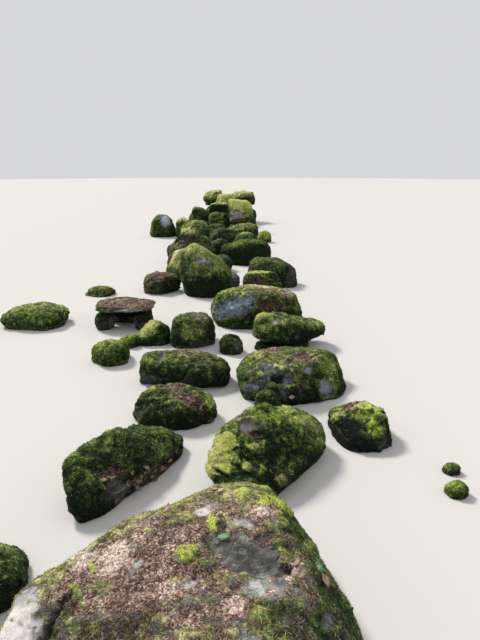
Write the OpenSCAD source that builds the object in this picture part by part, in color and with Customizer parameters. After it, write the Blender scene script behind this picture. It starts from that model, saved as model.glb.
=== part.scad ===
// Low, sunken dry stone wall of rounded field boulders, laid without mortar.
// One course of large stones in two rough lines at the near end, heaped two
// stones high at the far end. Every stone is one separate solid.
// Millimetres. +Y runs along the wall from the near end to the far end, +X is
// to the right when looking that way, +Z is up and the ground is z = 0.
// The origin is on the ground under the middle of the whole wall.
// Sizes are [across the wall, along the wall, height above what it stands on].

/* [Stone surface] */
// Points that shape each large stone
stone_points = 200; // [120:10:240]
// Points that shape each small stone
small_points = 100; // [60:10:140]
// How deep the flattened faces cut into the round shape, as a share of its radius
facet_depth = 0.24; // [0.05:0.01:0.35]
// Height of every stone against the height given below
height_factor = 1; // [0.8:0.05:1.2]

/* [Near stretch] */
// Half-buried front boulder, the largest stone
front_boulder_size = [1260, 1260, 440]; // [100:10:1600]
// Stone left of the front boulder
front_left_stone_size = [480, 440, 150]; // [100:10:1000]
// First stone of the left line
left_boulder_1_size = [770, 320, 270]; // [100:10:1000]
// First stone of the right line
centre_boulder_1_size = [790, 400, 310]; // [100:10:1000]
// Stone fallen out to the right
right_boulder_size = [330, 430, 160]; // [100:10:1000]
// Second stone of the left line
left_boulder_2_size = [520, 330, 190]; // [100:10:1000]
// Third stone of the left line
left_boulder_3_size = [670, 430, 230]; // [100:10:1000]
// Small round stone between the lines
knob_stone_size = [175, 130, 160]; // [60:10:400]
// Second stone of the right line
centre_boulder_2_size = [780, 580, 260]; // [100:10:1000]
// Two low stones at the left edge
low_left_stones_size = [300, 260, 180]; // [60:10:400]
// Two small stones fallen out at the right edge
fallen_stones_size = [110, 100, 60]; // [60:10:300]

/* [Middle stretch] */
// Small stone in the gap behind the left line
gap_stone_size = [200, 190, 160]; // [60:10:400]
// Wedge-shaped stone, thick at its left and pointed at its right
wedge_boulder_size = [660, 330, 250]; // [100:10:1000]
// Thin slab that carries the wedge
wedge_footing_size = [500, 320, 60]; // [50:10:700]
// Square stone of the left line
left_boulder_4_size = [410, 380, 270]; // [100:10:1000]
// Round stone beside the square one
round_stone_size = [300, 280, 190]; // [100:10:600]
// Large stone with a bare face
grey_faced_boulder_size = [940, 670, 380]; // [100:10:1200]
// Flat slab bridging two supports at the left edge
left_slab_size = [610, 420, 80]; // [60:10:900]
// Supports under the flat slab
slab_support_size = [200, 230, 180]; // [60:10:400]
// Two stones that lie apart on the left
outlying_stones_size = [620, 500, 200]; // [100:10:900]
// Low broad stone left of the tall one
low_broad_stone_size = [500, 460, 250]; // [100:10:800]
// Tallest stone of the middle stretch
tall_boulder_size = [670, 650, 620]; // [100:10:1000]
// Stone leaning behind the tall one
tall_neighbour_size = [640, 420, 440]; // [100:10:800]
// Small bare stone right of the tall one
bare_gap_stone_size = [280, 250, 190]; // [60:10:500]
// Rear half of the split stone
split_rear_size = [660, 400, 370]; // [100:10:900]
// Front ledge of the split stone
split_ledge_size = [500, 170, 260]; // [60:10:700]

/* [Far stretch] */
// Large dark stone of the right line
dark_boulder_size = [840, 710, 400]; // [100:10:1200]
// Brown-topped stone of the left line
brown_topped_boulder_size = [820, 660, 480]; // [100:10:1200]
// Four lower stones of the saddle before the heap
saddle_stone_size = [520, 480, 400]; // [100:10:900]
// Two stones on the left edge before the heap
left_edge_stone_size = [450, 430, 440]; // [100:10:900]
// Pale rock in the bank at the left edge
pale_rock_size = [600, 540, 490]; // [100:10:900]
// Stones inside the wall that others hide
core_stone_size = [540, 460, 300]; // [100:10:700]

/* [Heap] */
// Boulders of the heap's lower course
heap_base_size = [640, 560, 420]; // [100:10:900]
// Boulders of the heap's front
heap_front_size = [540, 500, 500]; // [100:10:900]
// Boulders of the heap's upper course
heap_top_size = [560, 500, 460]; // [100:10:900]

/* [Hidden] */

// Stones are placed by their distance along the wall from a mark 500 before
// the near end, and by their offset from the wall's walking line. These two
// values carry that mark to the middle of the whole wall.
mid_across = -615;
mid_along = 7720;

moss = "#6f8a34";
dark_moss = "#4c5f2a";
yellow_moss = "#9fae3c";
brown_litter = "#7d6a4c";
bare_rock = "#8f8f8c";

golden_angle = 137.508;

// Evenly spread directions over a ball
function directions(n) = [
    for (i = [0:n - 1])
        let (z = 1 - 2 * (i + 0.5) / n, a = golden_angle * i, s = sqrt(1 - z * z))
            [s * cos(a), s * sin(a), z]
];

// Flattened faces: each is a direction and its distance from the centre
function faces_of(seed, depth) =
    let (
        a = rands(0, 360, 8, seed),
        z = rands(-0.35, 0.85, 8, seed + 1),
        r = rands(1 - depth, 0.98, 8, seed + 2)
    ) [for (i = [0:7]) let (s = sqrt(1 - z[i] * z[i])) [s * cos(a[i]), s * sin(a[i]), z[i], r[i]]];

// Radius of a rounded block in direction d: square 2 is a ball, 4 is a soft box
function block_radius(d, square) =
    pow(pow(abs(d.x), square) + pow(abs(d.y), square) + pow(abs(d.z), square), -1 / square);

function cut_radius(d, cuts) =
    min([for (c = cuts) let (k = d.x * c[0] + d.y * c[1] + d.z * c[2]) k > 0.05 ? c[3] / k : 9]);

function turn_x(p, a) = [p.x, p.y * cos(a) - p.z * sin(a), p.y * sin(a) + p.z * cos(a)];
function turn_y(p, a) = [p.x * cos(a) + p.z * sin(a), p.y, p.z * cos(a) - p.x * sin(a)];

// Surface points of one stone. sunk is how much of its lower half shows: 0 is
// a half-buried dome, 1 a whole stone. taper narrows it towards the far end,
// point narrows it towards the right, tip leans it, flat levels its top, and
// slope makes the upper half fall towards the right and towards the far end.
function stone_cloud(size, seed, square, sunk, taper, point, tip, flat, slope, n) =
    let (
        cuts = faces_of(seed, facet_depth),
        raw = [
            for (d = directions(n))
                let (
                    r = min(block_radius(d, square), cut_radius(d, cuts)),
                    t = turn_y(turn_x(d * r, tip[0]), tip[1]),
                    x = t.x * (1 - taper * t.y),
                    y = t.y * (1 - point * t.x),
                    z = min(flat, t.z) * (t.z > 0 ? 1 - slope[0] * t.x - slope[1] * t.y : 1)
                ) [x, y, max(-sunk, z)]
        ],
        xs = [for (p = raw) p.x],
        ys = [for (p = raw) p.y],
        zs = [for (p = raw) p.z],
        kx = size[0] / (max(xs) - min(xs)),
        ky = size[1] / (max(ys) - min(ys)),
        kz = size[2] * height_factor / (max(zs) - min(zs)),
        cx = (max(xs) + min(xs)) / 2,
        cy = (max(ys) + min(ys)) / 2
    ) [for (p = raw) [(p.x - cx) * kx, (p.y - cy) * ky, (p.z - min(zs)) * kz]];

// One stone: the rounded hull of its surface points, turned and put in place
module stone(at, size, yaw, seed, square = 2.4, sunk = 0.45, taper = 0, point = 0,
             tip = [0, 0], flat = 2, slope = [0, 0], n = stone_points) {
    cloud = stone_cloud(size, seed, square, sunk, taper, point, tip, flat, slope, n);
    translate([at[0] - mid_across, at[1] - mid_along, at[2] * height_factor])
        rotate([0, 0, yaw])
            hull() polyhedron(points = cloud, faces = [[for (i = [0:n - 1]) i]]);
}

// ---- Near stretch ----
module front_boulder() {
    color(brown_litter)
        stone([-40, 1130, 0], front_boulder_size, -29, 43, square = 2.8, sunk = 0.25, taper = 0.5,
              n = 240);
}
module front_left_stone() {
    color(dark_moss) stone([-1060, 1440, 0], front_left_stone_size, 10, 21);
}
module left_boulder_1() {
    color(moss) stone([-585, 2195, 0], left_boulder_1_size, 57, 35, slope = [0.7, -0.7]);
}
module centre_boulder_1() {
    color(yellow_moss) stone([155, 2275, 0], centre_boulder_1_size, 49, 49, slope = [-0.25, -0.6]);
}
module right_boulder() {
    color(moss) 
        stone([730, 2640, 0], right_boulder_size, 7, 50, square = 3.4, flat = 0.7, slope = [-0.58, -0.15]);
}
module left_boulder_2() {
    color(moss) stone([-413, 2826, 0], left_boulder_2_size, -2, 65, flat = 0.8, slope = [0, -0.06]);
}
module left_boulder_3() {
    color(moss) 
        stone([-414, 3430, 0], left_boulder_3_size, -1, 71, square = 3, flat = 0.8, slope = [0.24, 0]);
}
module knob_stone() {
    color(dark_moss) stone([187, 2895, 0], knob_stone_size, 0, 81, n = small_points);
}
module centre_boulder_2() {
    color(bare_rock) 
        stone([358, 3280, 0], centre_boulder_2_size, 16, 96, square = 2.8, flat = 0.8, slope = [0.19, 0.11]);
}
module low_left_stones() {
    color(dark_moss) {
        stone([-1075, 3790, 0], low_left_stones_size, 15, 101, n = small_points);
        stone([-1000, 4150, 0], low_left_stones_size * 0.6, -10, 105, n = small_points);
    }
}
module fallen_stones() {
    color(moss) {
        stone([1120, 2240, 0], fallen_stones_size * 0.8, 0, 111, n = small_points);
        stone([1070, 2060, 0], fallen_stones_size, 30, 115, n = small_points);
    }
}

// ---- Middle stretch ----
module gap_stone() {
    color(dark_moss) stone([-80, 4000, 0], gap_stone_size, 20, 121, n = small_points);
}
module wedge_boulder() {
    color(moss)
        stone([438, 4150, 62], wedge_boulder_size, 21, 131, square = 3, sunk = 0.9, flat = 0.75,
              slope = [0.63, -0.28]);
}
module wedge_footing() {
    color(bare_rock)
        stone([370, 4100, 0], wedge_footing_size, 5, 141, square = 3.4, sunk = 0.5, flat = 0.6,
              n = small_points);
}
module left_boulder_4() {
    color(moss) stone([-430, 4250, 0], left_boulder_4_size, 4, 151, square = 3.6);
}
module round_stone() {
    color(yellow_moss) stone([-795, 4270, 0], round_stone_size, 0, 161, n = small_points);
}
module grey_faced_boulder() {
    color(bare_rock) stone([172, 4912, 0], grey_faced_boulder_size, -4, 170, slope = [0.05, 0.15]);
}
module left_slab() {
    color(brown_litter)
        stone([-1150, 4720, 182], left_slab_size, 6, 181, square = 3.2, sunk = 0.8, flat = 0.6);
}
module slab_supports() {
    color(bare_rock) {
        stone([-1340, 4650, 0], slab_support_size, 10, 191, square = 3, sunk = 0.8, n = small_points);
        stone([-950, 4650, 0], slab_support_size, -15, 195, square = 3, sunk = 0.8, n = small_points);
        stone([-1150, 4885, 0], [for (i = [0:2]) slab_support_size[i] * [2.3, 0.85, 1][i]], 0, 199, square = 3, sunk = 0.8, n = small_points);
    }
}
module outlying_stones() {
    color(yellow_moss) {
        stone([-2080, 4790, 0], outlying_stones_size, 5, 201);
        stone([-1760, 6000, 0], outlying_stones_size * 0.55, 0, 205, n = small_points);
    }
}
module low_broad_stone() {
    color(brown_litter) stone([-1020, 6180, 0], low_broad_stone_size, -10, 211);
}
module tall_boulder() {
    color(moss) stone([-445, 6120, 0], tall_boulder_size, -11, 221, sunk = 0.6, slope = [0.49, 0.22]);
}
module tall_neighbour() {
    color(yellow_moss) stone([-740, 6930, 0], tall_neighbour_size, -23, 231, sunk = 0.6, slope = [-0.13, 0.09]);
}
module bare_gap_stone() {
    color(bare_rock) stone([-135, 6450, 0], bare_gap_stone_size, -10, 243, square = 3, n = small_points);
}
module split_rear() {
    color(moss) stone([433, 6520, 0], split_rear_size, 0, 252, square = 3.4, slope = [0.38, -0.03]);
}
module split_ledge() {
    color(moss) stone([286, 6175, 0], split_ledge_size, -12, 261, square = 3.4, flat = 0.7);
}

// ---- Far stretch ----
module dark_boulder() {
    color(dark_moss) stone([97, 8166, 0], dark_boulder_size, 3, 273, square = 2.8, slope = [0, 0.08]);
}
module brown_topped_boulder() {
    color(brown_litter) stone([-801, 8189, 0], brown_topped_boulder_size, 13, 285, slope = [0, -0.25]);
}
module saddle_stone_1() {
    color(dark_moss) stone([90, 9300, 0], saddle_stone_size * 0.9, 0, 291);
}
module saddle_stone_2() {
    color(yellow_moss) stone([510, 10450, 0], saddle_stone_size * 0.6, 0, 301, n = small_points);
}
module saddle_stone_3() {
    color(moss) 
        stone([50, 10870, 0], [for (i = [0:2]) saddle_stone_size[i] * [1.42, 1.08, 0.9][i]], -5, 311,
              square = 2.8, slope = [-0.09, 0.04]);
}
module saddle_stone_4() {
    color(dark_moss) stone([-340, 9600, 0], saddle_stone_size, 12, 321);
}
module left_edge_stone_1() {
    color(dark_moss) stone([-1250, 11240, 0], left_edge_stone_size, 0, 331);
}
module left_edge_stone_2() {
    color(moss) stone([-930, 10500, 0], [for (i = [0:2]) left_edge_stone_size[i] * [1.55, 1.35, 1.03][i]], -10, 341);
}
module pale_rock() {
    color(bare_rock) stone([-1770, 11380, 0], pale_rock_size, 0, 351);
}
module core_stones() {
    color(brown_litter) {
        stone([200, 5560, 0], [for (i = [0:2]) core_stone_size[i] * [1.05, 0.9, 0.7][i]], -5, 397, n = small_points);
        stone([450, 7250, 0], [for (i = [0:2]) core_stone_size[i] * [1, 0.95, 0.8][i]], 10, 403, n = small_points);
        stone([-850, 7550, 0], core_stone_size * 1.05, -15, 407, n = small_points);
        stone([150, 8800, 0], [for (i = [0:2]) core_stone_size[i] * [1.1, 0.95, 0.95][i]], 0, 413, n = small_points);
        stone([120, 9950, 0], core_stone_size * 0.88, 20, 417, n = small_points);
        stone([-900, 11700, 0], core_stone_size, -30, 423, n = small_points);
        stone([-980, 9300, 0], core_stone_size * 1.05, 30, 369, n = small_points);
        stone([-330, 10280, 0], core_stone_size * 0.95, 0, 373, n = small_points);
        stone([-560, 11230, 0], core_stone_size, 20, 377, n = small_points);
        stone([20, 11610, 0], core_stone_size * 0.8, -10, 365, n = small_points);
        stone([130, 13200, 0], core_stone_size * 1.1, 10, 385, n = small_points);
        stone([-1330, 12300, 0], core_stone_size * 0.9, 40, 389, n = small_points);
        stone([-1150, 13900, 0], core_stone_size * 1.1, -20, 393, n = small_points);
        stone([-500, 12875, 0], [for (i = [0:2]) core_stone_size[i] * [0.75, 0.5, 1.1][i]], 4, 427, n = small_points);
        stone([-840, 14280, 0], [for (i = [0:2]) core_stone_size[i] * [0.85, 0.52, 1.2][i]], 0, 433, n = small_points);
        stone([-375, 8790, 0], [for (i = [0:2]) core_stone_size[i] * [0.7, 0.8, 1][i]], 25, 437, n = small_points);
        stone([-290, 7480, 0], [for (i = [0:2]) core_stone_size[i] * [0.62, 0.7, 0.8][i]], 10, 441, n = small_points);
    }
}

// ---- Heap ----
module heap_base_stones() {
    color(dark_moss) {
        stone([120, 14480, 0], heap_base_size, 5, 371, sunk = 0.7, flat = 0.7, n = small_points);
        stone([-400, 13900, 0], heap_base_size, -8, 375, sunk = 0.7, flat = 0.7, n = small_points);
        stone([-760, 14700, 0], heap_base_size, 12, 379, sunk = 0.7, flat = 0.7, n = small_points);
        stone([200, 13825, 0], [for (i = [0:2]) heap_base_size[i] * [0.8, 1, 1][i]], 8, 387, sunk = 0.7, flat = 0.7, n = small_points);
        stone([-318, 14500, 0], [for (i = [0:2]) heap_base_size[i] * [0.34, 0.95, 0.95][i]], 0, 391, sunk = 0.7, n = small_points);
        stone([20, 12715, 0], [for (i = [0:2]) heap_base_size[i] * [0.75, 0.66, 0.95][i]], -6, 395, sunk = 0.7, n = small_points);
        stone([-1090, 13420, 0], [for (i = [0:2]) heap_base_size[i] * [0.72, 0.7, 1][i]], 14, 399, sunk = 0.7, n = small_points);
        stone([30, 12240, 0], [heap_base_size[0] * 0.9, heap_base_size[1] * 0.8, heap_base_size[2] * 0.5], 0, 383,
              sunk = 0.7, flat = 0.7, n = small_points);
    }
}
module heap_front_1() {
    color(dark_moss) 
        stone([-1030, 12930, 0], [for (i = [0:2]) heap_front_size[i] * [1.03, 1, 1.08][i]], 0, 391,
              square = 2.8, slope = [0.2, 0]);
}
module heap_front_2() {
    color(dark_moss) 
        stone([-520, 12480, 0], [for (i = [0:2]) heap_front_size[i] * [1.07, 1, 0.9][i]], 0, 401,
              square = 2.8, slope = [0.15, 0]);
}
module heap_front_3() {
    color(yellow_moss)
        stone([10, 12220, 212], [for (i = [0:2]) heap_front_size[i] * [1.09, 1, 1.14][i]], 0, 411,
              square = 3.4, sunk = 0.9, flat = 0.65, slope = [0.08, 0]);
}
module heap_top_1() {
    color(dark_moss) 
        stone([-560, 13270, 0], [for (i = [0:2]) heap_top_size[i] * [0.98, 1, 1.4][i]], 0, 421,
              square = 3, sunk = 0.7, flat = 0.7);
}
module heap_top_2() {
    color(yellow_moss) 
        stone([-390, 13870, 422], [for (i = [0:2]) heap_top_size[i] * [0.98, 0.98, 0.86][i]], 0, 431,
              square = 3.2, sunk = 0.9, flat = 0.65);
}
module heap_top_3() {
    color(moss) 
        stone([100, 14500, 422], [for (i = [0:2]) heap_top_size[i] * [1.2, 1.2, 0.96][i]], 0, 441,
              square = 3, sunk = 0.9, flat = 0.7);
}
module heap_top_4() {
    color(moss) 
        stone([-790, 14680, 422], [for (i = [0:2]) heap_top_size[i] * [1, 1, 0.98][i]], 0, 451,
              square = 3, sunk = 0.9, flat = 0.7, slope = [-0.1, 0]);
}

front_boulder();
front_left_stone();
left_boulder_1();
centre_boulder_1();
right_boulder();
left_boulder_2();
left_boulder_3();
knob_stone();
centre_boulder_2();
low_left_stones();
fallen_stones();
gap_stone();
wedge_boulder();
wedge_footing();
left_boulder_4();
round_stone();
grey_faced_boulder();
left_slab();
slab_supports();
outlying_stones();
low_broad_stone();
tall_boulder();
tall_neighbour();
bare_gap_stone();
split_rear();
split_ledge();
dark_boulder();
brown_topped_boulder();
saddle_stone_1();
saddle_stone_2();
saddle_stone_3();
saddle_stone_4();
left_edge_stone_1();
left_edge_stone_2();
pale_rock();
core_stones();
heap_base_stones();
heap_front_1();
heap_front_2();
heap_front_3();
heap_top_1();
heap_top_2();
heap_top_3();
heap_top_4();
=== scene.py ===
import math

import bmesh
import bpy
import numpy as np
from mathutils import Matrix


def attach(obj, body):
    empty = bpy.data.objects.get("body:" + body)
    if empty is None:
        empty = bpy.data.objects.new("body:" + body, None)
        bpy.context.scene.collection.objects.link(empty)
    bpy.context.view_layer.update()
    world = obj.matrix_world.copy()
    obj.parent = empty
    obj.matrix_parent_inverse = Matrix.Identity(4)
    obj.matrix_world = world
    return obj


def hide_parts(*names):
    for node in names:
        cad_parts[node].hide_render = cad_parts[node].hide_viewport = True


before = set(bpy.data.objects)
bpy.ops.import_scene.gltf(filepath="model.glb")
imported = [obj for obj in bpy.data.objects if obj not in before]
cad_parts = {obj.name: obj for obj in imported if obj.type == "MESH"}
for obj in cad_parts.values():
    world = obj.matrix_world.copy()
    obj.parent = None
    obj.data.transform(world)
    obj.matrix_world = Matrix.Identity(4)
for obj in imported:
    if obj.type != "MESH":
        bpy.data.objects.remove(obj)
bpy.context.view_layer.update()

# ---------------------------------------------------------------- camera
# The place the wall is seen from, used also to put marks on the stones.
EYE = np.array([0.615, -7.72, 1.55])
PITCH = math.radians(17.5)
FOCAL = 490.0  # pixels of a 480 x 640 picture


def to_picture(p):
    d = p - EYE
    f = d[:, 1] * math.cos(PITCH) - d[:, 2] * math.sin(PITCH)
    u = d[:, 1] * math.sin(PITCH) + d[:, 2] * math.cos(PITCH)
    f = np.maximum(f, 1e-3)
    return 240 + FOCAL * d[:, 0] / f, 320 - FOCAL * u / f


cam_data = bpy.data.cameras.new("camera")
cam_data.sensor_width = 36
cam_data.lens = 36 * FOCAL / 640
cam_data.clip_start, cam_data.clip_end = 0.05, 200
cam = bpy.data.objects.new("camera", cam_data)
cam.location = EYE
cam.rotation_euler = (math.pi / 2 - PITCH, 0, 0)
bpy.context.scene.collection.objects.link(cam)
bpy.context.scene.camera = cam


# ---------------------------------------------------------------- noise
def hashed(i, j, k, seed):
    h = (i * 374761393 + j * 668265263 + k * 1274126177 + seed * 2246822519) & 0xFFFFFFFF
    h = ((h ^ (h >> 15)) * 2246822519) & 0xFFFFFFFF
    h = ((h ^ (h >> 13)) * 3266489917) & 0xFFFFFFFF
    return h ^ (h >> 16)


def perlin(p, seed):
    """Gradient noise of the points p, about -1 to 1."""
    i = np.floor(p).astype(np.int64)
    f = p - i
    w = f * f * f * (f * (f * 6 - 15) + 10)
    total = np.zeros(len(p))
    for dx in (0, 1):
        wx = w[:, 0] if dx else 1 - w[:, 0]
        for dy in (0, 1):
            wy = w[:, 1] if dy else 1 - w[:, 1]
            for dz in (0, 1):
                wz = w[:, 2] if dz else 1 - w[:, 2]
                h = hashed(i[:, 0] + dx, i[:, 1] + dy, i[:, 2] + dz, seed)
                g = ((h & 1023) / 511.5 - 1) * (f[:, 0] - dx)
                g += (((h >> 10) & 1023) / 511.5 - 1) * (f[:, 1] - dy)
                g += (((h >> 20) & 1023) / 511.5 - 1) * (f[:, 2] - dz)
                total += wx * wy * wz * g
    return total * 1.5


def fbm(p, seed, octaves=4, gain=0.5):
    total, amp, norm = np.zeros(len(p)), 1.0, 0.0
    for o in range(octaves):
        total += amp * perlin(p * 2.03 ** o + 17.3 * o, seed + 31 * o)
        norm += amp
        amp *= gain
    return total / norm * 1.3


def cells(p, seed):
    """Distance to the nearest of scattered points, about 0 to 1."""
    i = np.floor(p).astype(np.int64)
    best = np.full(len(p), 9.0)
    for dx in (-1, 0, 1):
        for dy in (-1, 0, 1):
            for dz in (-1, 0, 1):
                x, y, z = i[:, 0] + dx, i[:, 1] + dy, i[:, 2] + dz
                h = hashed(x, y, z, seed)
                q = (x + (h & 1023) / 1023 - p[:, 0]) ** 2
                q += (y + ((h >> 10) & 1023) / 1023 - p[:, 1]) ** 2
                q += (z + ((h >> 20) & 1023) / 1023 - p[:, 2]) ** 2
                best = np.minimum(best, q)
    return np.sqrt(best)


def smooth(a, b, x):
    t = np.clip((x - a) / (b - a), 0, 1)
    return t * t * (3 - 2 * t)


# ---------------------------------------------------------------- meshes
_balls = {}


def ball(k):
    """Directions and quads of a ball with k quads along each of six sides."""
    if k in _balls:
        return _balls[k]
    t = np.tan(np.linspace(-1, 1, k + 1) * math.pi / 4)
    a, b = np.meshgrid(t, t, indexing="ij")
    one = np.ones_like(a)
    pts, quads, base = [], [], 0
    idx = np.arange((k + 1) ** 2).reshape(k + 1, k + 1)
    q = np.stack([idx[:-1, :-1], idx[1:, :-1], idx[1:, 1:], idx[:-1, 1:]], -1).reshape(-1, 4)
    for axis in range(3):
        for sign in (1, -1):
            c = [None] * 3
            c[axis], c[(axis + 1) % 3], c[(axis + 2) % 3] = sign * one, a, b
            pts.append(np.stack(c, -1).reshape(-1, 3))
            quads.append((q if sign > 0 else q[:, ::-1]) + base)
            base += len(pts[-1])
    pts, quads = np.concatenate(pts), np.concatenate(quads)
    key = np.round(pts * 1e6).astype(np.int64)
    _, first, inverse = np.unique(key, axis=0, return_index=True, return_inverse=True)
    pts, quads = pts[first], inverse.reshape(-1)[quads]
    pts = pts / np.linalg.norm(pts, axis=1, keepdims=True)
    e = np.concatenate([quads[:, [0, 1]], quads[:, [1, 2]], quads[:, [2, 3]], quads[:, [3, 0]]])
    e = np.unique(np.sort(e, axis=1), axis=0)
    _balls[k] = pts, quads, e
    return _balls[k]


def relax(v, e, times, amount=0.5):
    n = len(v)
    deg = np.bincount(e.ravel(), minlength=n).astype(float)
    flat = v.ndim == 1
    v = v[:, None] if flat else v
    for _ in range(times):
        mean = np.stack([
            np.bincount(e[:, 0], v[e[:, 1], c], n) + np.bincount(e[:, 1], v[e[:, 0], c], n)
            for c in range(v.shape[1])
        ], -1) / deg[:, None]
        v = v + amount * (mean - v)
    return v[:, 0] if flat else v


def normals(p, quads):
    c = np.cross(p[quads[:, 2]] - p[quads[:, 0]], p[quads[:, 3]] - p[quads[:, 1]])
    n = np.stack([sum(np.bincount(quads[:, i], c[:, a], len(p)) for i in range(4)) for a in range(3)], -1)
    return n / np.maximum(np.linalg.norm(n, axis=1, keepdims=True), 1e-12)


def unfold(p, quads, e, rounds=24):
    """Smooth only the places where the surface has folded over itself."""
    p = p.copy()
    guide = relax(normals(p, quads), e, 40)
    guide = guide / np.maximum(np.linalg.norm(guide, axis=1, keepdims=True), 1e-9)
    for _ in range(rounds):
        bad = np.sum(normals(p, quads) * guide, 1) < 0.35
        if not bad.any():
            break
        near = bad.copy()
        near[e[bad[e[:, 0]], 1]] = True
        near[e[bad[e[:, 1]], 0]] = True
        wide = near.copy()
        wide[e[near[e[:, 0]], 1]] = True
        wide[e[near[e[:, 1]], 0]] = True
        p[wide] = relax(p, e, 1, 0.9)[wide]
    return p


def fit(p, lo, hi):
    a, b = p.min(0), p.max(0)
    return lo + (p - a) * (hi - lo) / (b - a)


def fit_above(p, lo, hi, grounded):
    """Fit the part above z = 0 into the box lo to hi."""
    if not grounded:
        return fit(p, lo, hi)
    seen = p[p[:, 2] > 0]
    a, b = seen.min(0), seen.max(0)
    k = (hi - lo) / (b - a)
    q = lo + (p - a) * k
    q[:, 2] = p[:, 2] * hi[2] / b[2]
    return q


def cut_at_foot(p, centre, edges):
    """Even out the foot, and pull what is below z = 0 up to it, towards the middle."""
    soft = np.clip(1 - np.abs(p[:, 2]) / 0.05, 0, 1)[:, None]
    p = p + (relax(p, edges, 5) - p) * soft
    c = np.array([centre[0], centre[1], max(centre[2], 0.05)])
    t = np.where(p[:, 2] < 0, c[2] / np.maximum(c[2] - p[:, 2], 1e-6), 1.0)
    q = c + (p - c) * t[:, None]
    tuck = 1 - 0.14 * np.clip(-p[:, 2] / 0.05, 0, 1)
    q[:, :2] = c[:2] + (q[:, :2] - c[:2]) * tuck[:, None]
    q[:, 2] = np.maximum(q[:, 2], 0.0)
    return q


def islands(node):
    """The separate solids of a CAD node: planes, lowest and highest corner."""
    bm = bmesh.new()
    bm.from_mesh(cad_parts[node].data)
    bmesh.ops.remove_doubles(bm, verts=bm.verts, dist=1e-5)
    bm.normal_update()
    left, found = set(bm.faces), []
    while left:
        stack, group = [left.pop()], []
        while stack:
            f = stack.pop()
            group.append(f)
            for e in f.edges:
                for g in e.link_faces:
                    if g in left:
                        left.discard(g)
                        stack.append(g)
        faces = [f for f in group if f.calc_area() > 1e-9]
        n = np.array([f.normal for f in faces])
        c = np.array([f.calc_center_median() for f in faces])
        v = np.array([v.co for f in group for v in f.verts])
        middle = (v.min(0) + v.max(0)) / 2
        if np.mean(np.sum(n * (c - middle), 1)) < 0:
            n = -n
        found.append((n, np.sum(n * c, 1), v.min(0), v.max(0)))
    bm.free()
    found.sort(key=lambda s: (round(float(s[2][1]), 4), round(float(s[2][0]), 4)))
    return found


def cast(n, off, centre, d):
    """Distance from centre along each direction d to the convex solid's side."""
    out = np.empty(len(d))
    reach = off - n @ centre
    for s in range(0, len(d), 4096):
        k = d[s:s + 4096] @ n.T
        with np.errstate(divide="ignore", invalid="ignore"):
            r = np.where(k > 1e-6, reach / k, np.inf)
        out[s:s + 4096] = r.min(1)
    return out


def make_mesh(name, verts, faces, material, fields=None, shade_smooth=True):
    me = bpy.data.meshes.new(name)
    size = faces.shape[1]
    me.vertices.add(len(verts))
    me.vertices.foreach_set("co", np.ascontiguousarray(verts, np.float32).ravel())
    me.loops.add(faces.size)
    me.loops.foreach_set("vertex_index", np.ascontiguousarray(faces, np.int32).ravel())
    me.polygons.add(len(faces))
    me.polygons.foreach_set("loop_start", np.arange(0, faces.size, size, dtype=np.int32))
    me.update(calc_edges=True)
    me.validate()
    me.polygons.foreach_set("use_smooth", np.full(len(me.polygons), shade_smooth))
    for key, values in (fields or {}).items():
        a = me.attributes.new(key, "FLOAT", "POINT")
        a.data.foreach_set("value", np.ascontiguousarray(values, np.float32))
    me.materials.append(material)
    o = bpy.data.objects.new(name, me)
    bpy.context.scene.collection.objects.link(o)
    return o


# ---------------------------------------------------------------- materials
def node(nt, kind, inputs=None, **props):
    n = nt.nodes.new(kind)
    for key, value in props.items():
        setattr(n, key, value)
    for key, value in (inputs or {}).items():
        if isinstance(value, bpy.types.NodeSocket):
            nt.links.new(value, n.inputs[key])
        else:
            n.inputs[key].default_value = value
    return n


def math_node(nt, op, a, b=0.0, c=0.0, clamp=False):
    return node(nt, "ShaderNodeMath", {0: a, 1: b, 2: c}, operation=op, use_clamp=clamp).outputs[0]


def mix(nt, fac, a, b, blend="MIX"):
    n = node(nt, "ShaderNodeMix", data_type="RGBA", blend_type=blend, clamp_factor=True)
    for key, value in ((0, fac), (6, a), (7, b)):
        if isinstance(value, bpy.types.NodeSocket):
            nt.links.new(value, n.inputs[key])
        else:
            n.inputs[key].default_value = value
    return n.outputs[2]


def between(nt, value, a, b, lo=0.0, hi=1.0):
    n = node(nt, "ShaderNodeMapRange", {"Value": value, "From Min": a, "From Max": b, "To Min": lo, "To Max": hi},
             interpolation_type="SMOOTHSTEP")
    return n.outputs["Result"]


def ramp(nt, fac, stops):
    n = node(nt, "ShaderNodeValToRGB", {"Fac": fac})
    r = n.color_ramp
    while len(r.elements) < len(stops):
        r.elements.new(0.5)
    for e, (pos, col) in zip(r.elements, stops):
        e.position, e.color = pos, (*col, 1)
    return n.outputs["Color"]


def noise_tex(nt, co, scale, detail=4.0, rough=0.55, lac=2.1, warp=0.0):
    return node(nt, "ShaderNodeTexNoise",
                {"Vector": co, "Scale": scale, "Detail": detail, "Roughness": rough, "Lacunarity": lac, "Distortion": warp})


def start(name):
    m = bpy.data.materials.new(name)
    m.use_nodes = True
    nt = m.node_tree
    nt.nodes.clear()
    out = node(nt, "ShaderNodeOutputMaterial")
    bsdf = node(nt, "ShaderNodeBsdfPrincipled")
    nt.links.new(bsdf.outputs[0], out.inputs["Surface"])
    co = node(nt, "ShaderNodeTexCoord").outputs["Object"]
    return m, nt, bsdf, co


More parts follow.
